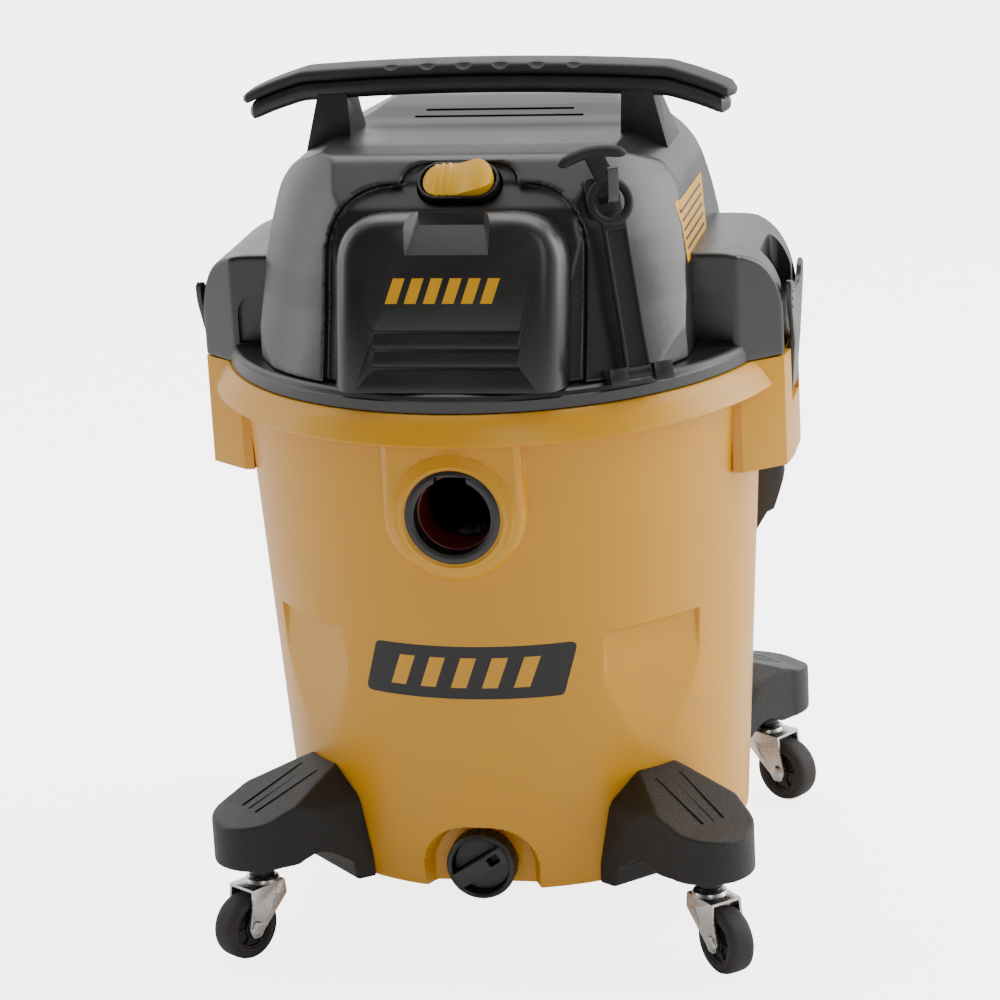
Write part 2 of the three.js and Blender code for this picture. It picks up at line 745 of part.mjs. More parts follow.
// ---------------------------------------------------------------- lid base
function lidEarProfile(inset) {
  const shape = new THREE.Shape();
  const top = deckZ + lidEarHeight - inset;
  const out = earX - inset;
  const low = inset > 0 ? deckZ + 0.5 : lidZ;
  shape.moveTo(120, low);
  shape.lineTo(out, low);
  shape.bezierCurveTo(out, deckZ + 0.62 * lidEarHeight, out - 12, top, out - 48, top);
  shape.lineTo(120, top);
  return shape;
}

function lidEar() {
  const plan = (inset) => insetPolygon([
    [120, -lidEarHalf], [earX - 33, -lidEarHalf], [earX - 2.5, -earHalfOuter], [earX, -earHalfOuter / 2],
    [earX, earHalfOuter / 2], [earX - 2.5, earHalfOuter], [earX - 33, lidEarHalf], [120, lidEarHalf],
  ], inset);
  const body = prismY(lidEarProfile(0), -90, 90, { curveSegments: 8 })
    .intersect(prismZ(plan(0), lidZ - 1, coverTopZ));
  const hollow = prismY(lidEarProfile(coverWall), -90, 90, { curveSegments: 8 })
    .intersect(prismZ(plan(coverWall), lidZ - 1, coverTopZ));
  const slotHalf = latchTopWidth / 2 + 3;
  const latchPocket = block(earX - 5, earX + 9, -slotHalf, slotHalf, rimZ - 5, coverTopZ);
  const fingers = block(earX - 21, earX + 9, -30, 30, deckZ + 22, coverTopZ);
  const keep = block(earX - 5 - coverWall, earX + 9, -slotHalf - 3, slotHalf + 3, lidZ, coverTopZ)
    .add(block(earX - 21 - coverWall, earX + 9, -33, 33, deckZ + 19, coverTopZ));
  const inset = prismY(roundedPanel(0), -90, -lidEarHalf + 5);
  const insetWall = prismY(roundedPanel(coverWall), -90, -lidEarHalf + 5 + coverWall);
  return body.subtract(hollow.subtract(keep).subtract(insetWall))
    .subtract(latchPocket).subtract(fingers).subtract(inset);
}

function roundedPanel(grow) {
  const shape = new THREE.Shape();
  const corner = 18;
  const top = deckZ + lidEarHeight - 30 + grow;
  const side = earX - 37 + grow;
  shape.moveTo(100, deckZ + 1.5 - grow);
  shape.lineTo(side, deckZ + 1.5 - grow);
  shape.lineTo(side, top - corner);
  shape.absarc(side - corner, top - corner, corner, 0, Math.PI / 2, false);
  shape.lineTo(100, top);
  return shape;
}

function lidBase() {
  const plugR = tankR(rimZ - plugDepth) - tankWall - 0.6;
  const under = deckZ - 4;
  const flange = turned([
    [airHoleR, under], [plugR - coverWall, under], [plugR - coverWall, rimZ - plugDepth],
    [plugR, rimZ - plugDepth], [plugR, lidZ], [flangeR, lidZ], [flangeR, deckZ - 4], [flangeR - 4, deckZ - 0.8],
    [coverFront + 1, deckZ - gap], [airHoleR, deckZ - gap],
  ], 40);
  const ear = lidEar();
  const ears = ear.add(spun(ear, 180)).subtract(coverBody(-gap));
  return flange.add(ears).subtract(ring(gasketR(0), gasketR(1), lidZ - 1, lidZ + 2.4, 40));
}

function gasketR(edge) {
  return tankR(rimZ) - 1.5 + 7 * edge;
}

function lidGasket() {
  return ring(gasketR(0) + gap, gasketR(1) - gap, rimZ + gap / 2, lidZ + 2.1, 40);
}

// ---------------------------------------------------------------- handle
function handleOutline(z0, z1, taper) {
  const end = handleLength / 2;
  const bendX = 146;
  const droop = 13;
  const crown = 5;
  const upper = [];
  const lower = [];
  const steps = 6;
  for (let i = -steps; i <= steps; i += 1) {
    const x = bendX * i / steps;
    const rise = crown * (1 - (i / steps) ** 2);
    upper.push([x, z1 + rise]);
    lower.push([x, z0 + rise]);
  }
  lower.unshift([taper - end, z0 - droop]);
  lower.push([end - taper, z0 - droop]);
  upper.unshift([-end, z1 - droop]);
  upper.push([end, z1 - droop]);
  return [...lower, ...upper.reverse()];
}

function handlePost() {
  const top = handleZ + 6;
  const foot = deckZ + 110;
  const face = prismY([
    [postHalfSpan - 1, foot], [postHalfSpan + 42, foot], [postHalfSpan + 25, top], [postHalfSpan + 2, top],
  ], -40, 80);
  const side = prismX([[-23, foot], [52, foot], [10, top], [-20, top]], 60, 180);
  return face.intersect(side);
}

function handleFrame() {
  const half = handleDepth / 2;
  const bar = new THREE.ExtrudeGeometry(outline(handleOutline(handleZ, handleZ + handleBar, 4)), {
    depth: handleDepth - 6, bevelEnabled: true, bevelSize: 3, bevelThickness: 3, bevelOffset: -3, bevelSegments: 1,
  });
  const barSolid = solid(bar.rotateX(Math.PI / 2).translate(0, half - 3 - 4, 0));
  const post = handlePost();
  const pair = post.add(mirroredX(post));
  return barSolid.add(pair.subtract(coverBody(-gap)));
}

function mirroredX(manifold) {
  return solid(toGeometry(manifold).scale(-1, 1, 1));
}

function handleGrip() {
  const half = handleDepth / 2;
  const z0 = handleZ + handleBar + gap;
  const grip = new THREE.ExtrudeGeometry(outline(handleOutline(z0, z0 + gripThickness, 0)), {
    depth: handleDepth - 6, bevelEnabled: true, bevelSize: 3, bevelThickness: 3, bevelOffset: -3, bevelSegments: 1,
  });
  let body = solid(grip.rotateX(Math.PI / 2).translate(0, half - 3 - 4, 0));
  const scallops = 6;
  for (let i = 0; i < scallops; i += 1) {
    const x = (i - (scallops - 1) / 2) * 28;
    const scoop = new THREE.SphereGeometry(9, 10, 6).translate(x, -half - 7, z0 + gripThickness + 8);
    body = body.subtract(solid(scoop));
  }
  return body;
}

// ---------------------------------------------------------------- switch
function switchBezel() {
  const outer = atSwitch(new THREE.ExtrudeGeometry(
    stadium(rockerLength / 2 + 4 - gap, rockerWidth / 2 + 2.5 - gap),
    { depth: 16, bevelEnabled: false, curveSegments: 8 },
  ).translate(0, 0, -14.5));
  const well = atSwitch(new THREE.ExtrudeGeometry(
    stadium(rockerLength / 2 + rockerSwing, rockerWidth / 2 + running),
    { depth: 40, bevelEnabled: false, curveSegments: 8 },
  ).translate(0, 0, -20));
  return outer.subtract(well);
}

function switchRocker() {
  const half = rockerLength / 2;
  const profile = [
    [-half, -1], [-half + 8, -7], [0, -9], [half - 8, -7], [half, -1], [half, 5], [half - 3, 8.5],
    [half - 9, 9.5], [3, 3.5], [-half + 4, 1.5], [-half, 0.5],
  ];
  const across = new THREE.ExtrudeGeometry(outline(profile), { depth: rockerWidth, bevelEnabled: false })
    .rotateX(Math.PI / 2).translate(0, rockerWidth / 2, 0);
  const plan = new THREE.ExtrudeGeometry(stadium(half, rockerWidth / 2), {
    depth: 40, bevelEnabled: false, curveSegments: 8,
  }).translate(0, 0, -20);
  const { y, z, tilt } = switchFrame();
  const rocker = solid(across).intersect(solid(plan));
  return solid(toGeometry(rocker).rotateX(tilt).translate(0, y, z));
}

function switchBody() {
  const box = new THREE.BoxGeometry(30, 22, 22).translate(0, 0, -28);
  return atSwitch(box);
}

// ---------------------------------------------------------------- strap
const strapFrame = (() => {
  const along = (angle, reach, rise) => new THREE.Vector3(reach, 0, deckZ + rise)
    .applyAxisAngle(new THREE.Vector3(0, 0, 1), THREE.MathUtils.degToRad(angle));
  const foot = along(strapFootAngle, coverFront + strapStandOff, 5.5);
  const head = along(strapHeadAngle, coverFront - strapLean, 126);
  const up = head.clone().sub(foot).normalize();
  const out = new THREE.Vector3(0.5, -0.866, 0);
  out.sub(up.clone().multiplyScalar(out.dot(up))).normalize();
  const across = new THREE.Vector3().crossVectors(out, up);
  return new THREE.Matrix4().makeBasis(across, out, up).setPosition(foot);
})();

function onStrap(geometry) {
  return solid(geometry.applyMatrix4(strapFrame));
}

const eyeR = 4.6;

function strapBand() {
  const bandTop = strapLength - ringR - ringBar + 0.6;
  const half = strapThickness / 2;
  const band = new THREE.BoxGeometry(strapWidth, strapThickness, bandTop).translate(0, 0, bandTop / 2);
  const eye = new THREE.CylinderGeometry(eyeR, eyeR, strapWidth, 16).rotateZ(Math.PI / 2);
  const hole = new THREE.CylinderGeometry(pinR + running, pinR + running, strapWidth + 4, 16).rotateZ(Math.PI / 2);
  const loop = new THREE.TorusGeometry(ringR, ringBar + gap, 8, 18).rotateX(Math.PI / 2)
    .translate(0, 0, strapLength);
  return onStrap(band).add(onStrap(eye)).subtract(onStrap(hole)).subtract(onStrap(loop))
    .intersect(onStrap(new THREE.BoxGeometry(60, 20, bandTop + 2 * half + 30).translate(0, 0, bandTop / 2 - 10)));
}

function strapLoop() {
  const loop = new THREE.TorusGeometry(ringR, ringBar, 8, 18).rotateX(Math.PI / 2).translate(0, 0, strapLength);
  const stemTop = strapLength + ringR + 21;
  const stem = new THREE.ExtrudeGeometry(outline([[-8, strapLength + ringR + 1], [7, strapLength + ringR + 1],
    [14, stemTop], [1, stemTop]]), { depth: 5, bevelEnabled: false }).rotateX(Math.PI / 2).translate(0, 2.5, 0);
  const barCurve = new THREE.QuadraticBezierCurve3(
    new THREE.Vector3(-18, 0, stemTop - 3), new THREE.Vector3(8, 0, stemTop + 7), new THREE.Vector3(34, 0, stemTop - 5),
  );
  const round = new THREE.Shape().absarc(0, 0, 4.6, 0, 2 * Math.PI, false);
  const bar = new THREE.ExtrudeGeometry(round, { steps: 6, extrudePath: barCurve, curveSegments: 4 });
  return onStrap(loop).add(onStrap(stem)).add(onStrap(bar));
}

// bracket on the flange with a pin through the strap's eye
function strapAnchor() {
  const cheekHalf = strapWidth / 2 + 1;
  const box = new THREE.BoxGeometry(48, 16, 22).translate(0, 0, -6);
  const slot = new THREE.BoxGeometry(2 * cheekHalf, 30, 30).translate(0, 4.5, 4.2);
  const pin = new THREE.CylinderGeometry(pinR, pinR, 2 * cheekHalf + 4, 16).rotateZ(Math.PI / 2);
  return onStrap(box).subtract(onStrap(slot)).add(onStrap(pin))
    .intersect(block(-300, 300, -300, 0, deckZ + gap, coverTopZ).subtract(coverBody(-gap)));
}

function strapHook() {
  const z = strapLength;
  const post = new THREE.BoxGeometry(8, 60, 5.5).translate(0, -26, z + 1.7);
  const tongue = new THREE.ExtrudeGeometry(outline([
    [1.2, z + 4.4], [1.2, z - 1], [7, z - 1], [9.5, z + 3], [19, z + 23], [15.5, z + 24.5], [5.5, z + 4.4],
  ]), { depth: 8, bevelEnabled: false }).applyMatrix4(yzPlane).translate(-4, 0, 0);
  const plate = new THREE.BoxGeometry(26, 60, 30).translate(0, -42.5, z + 4);
  return onStrap(post).add(onStrap(tongue)).add(onStrap(plate)).subtract(coverBody(-gap));
}

// ---------------------------------------------------------------- latches
function latch() {
  const { x, y: z } = latchPivot;
  const top = z - latchEyeR + latchHeight;
  const outer = earX + 4;
  const profile = new THREE.Shape();
  profile.absarc(x, z, latchEyeR - 0.4, Math.PI, 2 * Math.PI - 0.1, false);
  profile.lineTo(outer - 1, rimZ + 4);
  profile.lineTo(outer, top - 2);
  profile.lineTo(outer - 1.5, top);
  profile.lineTo(outer - 4.2, top - 0.5);
  profile.lineTo(outer - 4.6, rimZ + 10);
  profile.lineTo(x - latchEyeR + 1.4, z + 16);
  const half = latchTopWidth / 2;
  const face = [
    [-half / 2 + 6, z - 12], [half / 2 - 6, z - 12], [half / 2, rimZ + 6], [half, top - 14], [half, top],
    [half - 22, top - 13], [22 - half, top - 13], [-half, top], [-half, top - 14], [-half / 2, rimZ + 6],
  ];
  const bore = cylinderY(pinR + running, -60, 60, x, z, 16);
  return prismY(profile, -60, 60).intersect(prismX(face, x - 20, outer + 5)).subtract(bore);
}

function latchPin() {
  return cylinderY(pinR, -25, 25, latchPivot.x, latchPivot.y, 16);
}

// ---------------------------------------------------------------- blower port and cord gland
function blowerPort() {
  const outer = blower.boreR + blower.wall;
  const flangeY = coverFront - 34;
  const profile = [
    [blower.boreR, flangeY - 30], [outer, flangeY - 30], [outer, blower.faceY], [blower.boreR, blower.faceY],
  ];
  const tube = solid(toGeometry(turned(profile, 32)).rotateX(-Math.PI / 2).translate(blower.x, 0, blower.z));
  const collar = cylinderY(outer + 6, flangeY, blower.faceY - 10, blower.x, blower.z, 32)
    .subtract(cylinderY(outer - 1, flangeY - 1, blower.faceY, blower.x, blower.z, 32))
    .subtract(coverBody(-gap));
  return tube.add(collar);
}

function cordGland() {
  const gland = turned([[0, 0], [11, 0], [11, 6], [7, 22], [4.2, 22], [4.2, 12], [0, 12]], 20);
  const placed = solid(toGeometry(gland).rotateX(-Math.PI / 2).translate(-92, coverFront - 42, deckZ + 30));
  return placed.subtract(coverBody(-gap));
}

// ---------------------------------------------------------------- motor
function fanShroud() {
  const z = motorZ;
  return turned([
    [airHoleR - 14, z], [shroudR, z], [shroudR, z + shroudHeight], [statorR + 4, z + shroudHeight],
    [statorR + 4, z + shroudHeight - 2], [shroudR - 2, z + shroudHeight - 2], [shroudR - 2, z + 2],
    [airHoleR - 14, z + 2],
  ]);
}

function motorSeat() {
  return turned([
    [airHoleR, deckZ + gap], [shroudR + 6, deckZ + gap], [shroudR + 6, motorZ + 10], [shroudR + gap, motorZ + 10],
    [shroudR + gap, motorZ - gap], [airHoleR, motorZ - gap],
  ]);
}

function stator() {
  const z = motorZ + shroudHeight + gap;
  const cup = ring(27, statorR, z + 6, z + 6 + statorHeight);
  const feet = ring(statorR - 6, statorR + 3.5, z, z + 8);
  const bridge = ring(9, statorR, z + 6 + statorHeight - 1, z + 14 + statorHeight);
  const windows = block(-60, 60, -14, 14, z + statorHeight - 12, z + 5 + statorHeight);
  return cup.add(feet).add(bridge).subtract(windows);
}

function armature() {
  const z = motorZ;
  const coreZ = z + shroudHeight + 14;
  return turned([
    [0, z + 4], [4, z + 4], [4, coreZ], [25, coreZ], [25, coreZ + 30], [11, coreZ + 32], [11, coreZ + 35],
    [4, coreZ + 36], [4, z + shroudHeight + statorHeight + 18], [0, z + shroudHeight + statorHeight + 18],
  ], 18);
}

function impeller() {
  const z = motorZ + 6;
  const disc = ring(4 + gap, shroudR - 7, z + 24, z + 26);
  const hub = ring(4 + gap, 11, z + 8, z + 25);
  const cap = ring(airHoleR - 16, shroudR - 7, z + 4, z + 6);
  let fan = disc.add(hub).add(cap);
  const blades = 6;
  const blade = block(24, shroudR - 9, -1, 1, z + 5, z + 25);
  for (let i = 0; i < blades; i += 1) {
    fan = fan.add(spun(blade, 360 * i / blades));
  }
  return fan;
}

// ---------------------------------------------------------------- filter, cage and float
function filterCage() {
  const top = deckZ - 4 - gap;
  const bottom = top - cageLength;
  let cage = turned([
    [floatSeatR, top], [cageR + 8, top], [cageR + 8, top - 4], [cageR, top - 4], [cageR, bottom],
    [18, bottom], [18, bottom + 3], [cageR - 3, bottom + 3], [cageR - 3, top - 6], [floatSeatR, top - 6],
  ], 24);
  const windows = 6;
  const windowHalf = 16;
  const cut = block(cageR - 8, cageR + 4, -windowHalf, windowHalf, bottom + 12, top - 18);
  for (let i = 0; i < windows; i += 1) {
    cage = cage.subtract(spun(cut, 360 * (i + 0.5) / windows));
  }
  return cage;
}

function floatBall() {
  const bottom = deckZ - 4 - gap - cageLength + 3;
  return turned([
    [0, bottom + gap], [floatR * 0.7, bottom + gap], [floatR, bottom + floatR * 0.5], [floatR, bottom + floatR * 1.5],
    [floatR * 0.7, bottom + floatR * 2], [0, bottom + floatR * 2],
  ], 20);
}

function filterMedia() {
  const shape = new THREE.Shape();
  for (let i = 0; i < 2 * pleats; i += 1) {
    const angle = Math.PI * i / pleats;
    const r = i % 2 ? filterR - 3 : filterR - 17;
    shape[i ? 'lineTo' : 'moveTo'](r * Math.cos(angle), r * Math.sin(angle));
  }
  shape.holes.push(new THREE.Path().absarc(0, 0, cageR + 4, 0, 2 * Math.PI, true));
  const top = filterTopZ() - 10 - gap;
  return prismZ(shape, top - filterLength + 20 + 2 * gap, top, { curveSegments: 14 });
}

function filterTopZ() {
  return deckZ - 4 - 6 - 3 * gap;
}

function filterCap(top) {
  const z1 = top ? filterTopZ() : filterTopZ() - filterLength + 10;
  return ring(cageR + 1, filterR, z1 - 10, z1);
}

// ---------------------------------------------------------------- assembly
const vacuum = new THREE.Group();

function addTank(parent) {
  addPart(parent, 'tank', tank(), paint.tank);
  addPart(parent, 'inlet_port', inletPort(), paint.black);
  addPart(parent, 'inlet_elbow', inletElbow(), paint.black);
  addPart(parent, 'drain_seal', drainSeal(), paint.rubber);
  addPart(parent, 'drain_cap', drainCap(), paint.black);
  addPart(parent, 'tool_bin', toolBin(), paint.black);
}

function addCasters(parent) {
  const shapes = { leg: leg(), stem: casterStem(), fork: casterFork(), axle: casterAxle(), tyre: casterTyre(),
    hub: casterHub() };
  for (const { corner, leg: legAngle, trailing } of casters) {
    const arm = group(parent, legAngle);
    addPart(arm, `leg_${corner}`, shapes.leg, paint.black);
    const swivel = group(arm, trailing - legAngle, swivelReach);
    addPart(swivel, `stem_${corner}`, shapes.stem, paint.hub);
    addPart(swivel, `fork_${corner}`, shapes.fork, paint.zinc);
    addPart(swivel, `axle_${corner}`, shapes.axle, paint.steel);
    addPart(swivel, `tyre_${corner}`, shapes.tyre, paint.tyre);
    addPart(swivel, `hub_${corner}`, shapes.hub, paint.hub);
  }
}

function addLid(parent) {
  addPart(parent, 'lid_base', lidBase(), paint.cover);
  addPart(parent, 'lid_gasket', lidGasket(), paint.rubber);
  addPart(parent, 'motor_cover', motorCover(), paint.cover);
  addPart(parent, 'front_panel', frontPanel(), paint.cover);
  addPart(parent, 'handle_frame', handleFrame(), paint.black);
  addPart(parent, 'handle_grip', handleGrip(), paint.grip);
  addPart(parent, 'blower_port', blowerPort(), paint.black);
  addPart(parent, 'cord_gland', cordGland(), paint.rubber);
}

function addSwitch(parent) {
  addPart(parent, 'switch_bezel', switchBezel(), paint.black);
  addPart(parent, 'switch_rocker', switchRocker(), paint.rocker);
  addPart(parent, 'switch_body', switchBody(), paint.black);
}

function addStrap(parent) {
  addPart(parent, 'strap_band', strapBand(), paint.rubber);
  addPart(parent, 'strap_loop', strapLoop(), paint.rubber);
  addPart(parent, 'strap_anchor', strapAnchor(), paint.black);
  addPart(parent, 'strap_hook', strapHook(), paint.black);
}

function addLatches(parent) {
  for (const [side, degrees] of [['right', 0], ['left', 180]]) {
    const place = group(parent, degrees);
    addPart(place, `latch_${side}`, latch(), paint.grip);
    addPart(place, `latch_pin_${side}`, latchPin(), paint.steel);
  }
}

function addMotor(parent) {
  addPart(parent, 'motor_seat', motorSeat(), paint.rubber);
  addPart(parent, 'fan_shroud', fanShroud(), paint.zinc);
  addPart(parent, 'stator', stator(), paint.steel);
  addPart(parent, 'armature', armature(), paint.copper);
  addPart(parent, 'impeller', impeller(), paint.zinc);
}

function addFilter(parent) {
  addPart(parent, 'filter_cage', filterCage(), paint.black);
  addPart(parent, 'float_ball', floatBall(), paint.ball);
  addPart(parent, 'filter_media', filterMedia(), paint.media);
  addPart(parent, 'filter_cap_top', filterCap(true), paint.rubber);
  addPart(parent, 'filter_cap_bottom', filterCap(false), paint.rubber);
}

addTank(vacuum);
addCasters(vacuum);
addLid(vacuum);
addSwitch(vacuum);
addStrap(vacuum);
addLatches(vacuum);
addMotor(vacuum);
addFilter(vacuum);

export default vacuum;
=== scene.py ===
import bpy
import bmesh
import math
from mathutils import Matrix, Vector


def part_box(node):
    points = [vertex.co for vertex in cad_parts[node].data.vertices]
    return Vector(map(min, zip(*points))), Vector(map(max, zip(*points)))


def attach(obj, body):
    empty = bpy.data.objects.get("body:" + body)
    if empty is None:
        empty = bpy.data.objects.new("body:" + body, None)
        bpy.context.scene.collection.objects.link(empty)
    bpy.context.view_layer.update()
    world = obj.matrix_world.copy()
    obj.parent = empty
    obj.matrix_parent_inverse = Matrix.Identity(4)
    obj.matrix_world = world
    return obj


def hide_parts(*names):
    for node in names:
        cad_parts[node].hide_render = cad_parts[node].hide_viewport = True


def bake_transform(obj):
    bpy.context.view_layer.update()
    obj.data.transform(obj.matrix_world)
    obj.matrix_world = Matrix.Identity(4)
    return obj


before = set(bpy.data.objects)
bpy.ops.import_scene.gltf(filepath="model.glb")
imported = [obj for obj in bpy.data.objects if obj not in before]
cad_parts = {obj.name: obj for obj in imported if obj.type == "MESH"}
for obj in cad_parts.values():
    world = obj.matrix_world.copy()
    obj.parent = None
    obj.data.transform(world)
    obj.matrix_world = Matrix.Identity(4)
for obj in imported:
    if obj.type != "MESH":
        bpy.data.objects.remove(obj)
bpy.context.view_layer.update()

# ------------------------------------------------------------------ camera and studio
# A long lens from a little right of the front and above the rim, tipped slightly anticlockwise, in a pale
# room with a plain floor, lit by four softboxes.
azimuth = 0.2086
elevation = 0.2828
distance = 2.8462
target = Vector((0.0, 0.0, 0.35))
level = math.cos(elevation)
view = Vector((math.sin(azimuth) * level, -math.cos(azimuth) * level, math.sin(elevation)))
eye = target + distance * view
across = Vector((math.cos(azimuth), math.sin(azimuth), 0.0))
aim_left, aim_down = 0.0028, 0.0138
ahead = (-view - aim_left * across - aim_down * across.cross(-view)).normalized()
across = ahead.cross(Vector((0, 0, 1))).normalized()
upward = across.cross(ahead)
roll = -0.0538
right = math.cos(roll) * across + math.sin(roll) * upward
upward = math.cos(roll) * upward - math.sin(roll) * across
camera = bpy.data.objects.new("camera", bpy.data.cameras.new("camera"))
camera.matrix_world = Matrix.Translation(eye) @ Matrix((right, upward, -ahead)).transposed().to_4x4()
camera.data.lens = 131.68
camera.data.sensor_width = 36.0
camera.data.clip_end = 60.0
bpy.context.collection.objects.link(camera)
bpy.context.scene.camera = camera

world = bpy.data.worlds.new("studio")
bpy.context.scene.world = world
world.use_nodes = True


def softbox(name, place, aim, size, power, colour=(1.0, 1.0, 1.0)):
    data = bpy.data.lights.new(name, "AREA")
    data.shape = "RECTANGLE"
    data.size, data.size_y = size
    data.energy = power
    data.color = colour
    lamp = bpy.data.objects.new(name, data)
    lamp.location = place
    lamp.rotation_euler = (Vector(aim) - Vector(place)).to_track_quat("-Z", "Y").to_euler()
    bpy.context.collection.objects.link(lamp)
    return lamp


softbox("softbox_right", (2.2, 0.7, 1.3), (0, 0, 0.4), (1.6, 2.0), 44)
softbox("softbox_left", (-2.3, -0.2, 1.3), (0, 0, 0.4), (0.8, 1.8), 8)
softbox("softbox_top", (0.1, 0.5, 2.4), (0, 0, 0.4), (2.2, 1.4), 18)
softbox("softbox_front", (1.0, -3.4, 2.2), (0, 0, 0.25), (1.2, 1.0), 12)


# shader graph helper: makes a node and fills its inputs with values or links
def node(tree, kind, inputs=None, **settings):
    made = tree.nodes.new(kind)
    for key, value in settings.items():
        setattr(made, key, value)
    for key, value in (inputs or {}).items():
        if isinstance(value, bpy.types.NodeSocket):
            tree.links.new(value, made.inputs[key])
        else:
            made.inputs[key].default_value = value
    return made


def rgb(r, g, b):
    return (r, g, b, 1.0)


def new_group(name, inputs, outputs):
    group = bpy.data.node_groups.new(name, "ShaderNodeTree")
    for label, kind, value in inputs:
        socket = group.interface.new_socket(label, in_out="INPUT", socket_type=kind)
        socket.default_value = value
    for label, kind in outputs:
        group.interface.new_socket(label, in_out="OUTPUT", socket_type=kind)
    return group, group.nodes.new("NodeGroupInput"), group.nodes.new("NodeGroupOutput")


# moulded plastic: fine grain in the surface, slow tone drift, dust on what faces up, rubbed edges
def moulded_group():
    group, given, out = new_group("moulded surface", [
        ("Colour", "NodeSocketColor", rgb(0.5, 0.5, 0.5)),
        ("Rubbed colour", "NodeSocketColor", rgb(0.5, 0.5, 0.5)),
        ("Drift", "NodeSocketFloat", 0.1),
        ("Roughness", "NodeSocketFloat", 0.5),
        ("Grain size", "NodeSocketFloat", 900.0),
        ("Grain depth", "NodeSocketFloat", 0.1),
        ("Dust", "NodeSocketFloat", 0.1),
        ("Rub", "NodeSocketFloat", 0.2),
    ], [("Colour", "NodeSocketColor"), ("Roughness", "NodeSocketFloat"), ("Normal", "NodeSocketVector")])
    where = node(group, "ShaderNodeTexCoord").outputs["Object"]
    slow = node(group, "ShaderNodeTexNoise", {"Vector": where, "Scale": 9.0, "Detail": 5.0, "Roughness": 0.6})
    fine = node(group, "ShaderNodeTexNoise", {"Vector": where, "Scale": given.outputs["Grain size"], "Detail": 2.0})
    pits = node(group, "ShaderNodeTexVoronoi", {"Vector": where, "Scale": given.outputs["Grain size"]})
    scratches = node(group, "ShaderNodeTexNoise", {"Vector": node(group, "ShaderNodeMapping", {
        "Vector": where, "Rotation": (0.4, 0.9, 0.3), "Scale": (60.0, 60.0, 900.0)}).outputs["Vector"],
        "Scale": 1.0, "Detail": 3.0})
    tone = node(group, "ShaderNodeMapRange", {"Value": slow.outputs["Fac"], "From Min": 0.3, "From Max": 0.7,
                                              "To Min": -1.0, "To Max": 1.0})
    lift = node(group, "ShaderNodeMath", {0: tone.outputs["Result"], 1: given.outputs["Drift"]}, operation="MULTIPLY")
    value = node(group, "ShaderNodeMath", {0: lift.outputs[0], 1: 1.0}, operation="ADD")
    toned = node(group, "ShaderNodeHueSaturation", {"Color": given.outputs["Colour"], "Value": value.outputs[0]})
    edge = node(group, "ShaderNodeMapRange", {
        "Value": node(group, "ShaderNodeNewGeometry").outputs["Pointiness"],
        "From Min": 0.53, "From Max": 0.60})
    broken = node(group, "ShaderNodeMath", {0: edge.outputs["Result"], 1: slow.outputs["Fac"]}, operation="MULTIPLY")
    rub = node(group, "ShaderNodeMath", {0: broken.outputs[0], 1: given.outputs["Rub"]}, operation="MULTIPLY")
    rubbed = node(group, "ShaderNodeMix", {"Factor": rub.outputs[0], "A": toned.outputs["Color"],
                                           "B": given.outputs["Rubbed colour"]}, data_type="RGBA")
    facing = node(group, "ShaderNodeSeparateXYZ",
                  {"Vector": node(group, "ShaderNodeNewGeometry").outputs["Normal"]}).outputs["Z"]
    settled = node(group, "ShaderNodeMapRange", {"Value": facing, "From Min": 0.55, "From Max": 1.0})
    speck = node(group, "ShaderNodeTexNoise", {"Vector": where, "Scale": 420.0, "Detail": 4.0, "Roughness": 0.75})
    grit = node(group, "ShaderNodeMapRange", {"Value": speck.outputs["Fac"], "From Min": 0.5, "From Max": 0.78})
    dust = node(group, "ShaderNodeMath", {0: settled.outputs["Result"], 1: grit.outputs["Result"]},
                operation="MULTIPLY")
    dusty = node(group, "ShaderNodeMath", {0: dust.outputs[0], 1: given.outputs["Dust"]}, operation="MULTIPLY")
    coated = node(group, "ShaderNodeMix", {"Factor": dusty.outputs[0], "A": rubbed.outputs["Result"],
                                           "B": rgb(0.55, 0.52, 0.47)}, data_type="RGBA")
    group.links.new(coated.outputs["Result"], out.inputs["Colour"])
    sheen = node(group, "ShaderNodeMapRange", {"Value": slow.outputs["Fac"], "From Min": 0.3, "From Max": 0.7,
                                               "To Min": -0.05, "To Max": 0.06})
    scuffed = node(group, "ShaderNodeMapRange", {"Value": scratches.outputs["Fac"], "From Min": 0.62,
                                                 "From Max": 0.75, "To Max": 0.10})
    rough = node(group, "ShaderNodeMath", {0: given.outputs["Roughness"], 1: sheen.outputs["Result"]},
                 operation="ADD")
    rougher = node(group, "ShaderNodeMath", {0: rough.outputs[0], 1: scuffed.outputs["Result"]}, operation="ADD")
    dull = node(group, "ShaderNodeMath", {0: rougher.outputs[0], 1: dusty.outputs[0]}, operation="ADD",
                use_clamp=True)
    group.links.new(dull.outputs[0], out.inputs["Roughness"])
    height = node(group, "ShaderNodeMath", {0: fine.outputs["Fac"], 1: pits.outputs["Distance"]}, operation="ADD")
    bump = node(group, "ShaderNodeBump", {"Strength": given.outputs["Grain depth"], "Distance": 0.0004,
                                          "Height": height.outputs[0]})
    group.links.new(bump.outputs["Normal"], out.inputs["Normal"])
    return group


moulded = moulded_group()


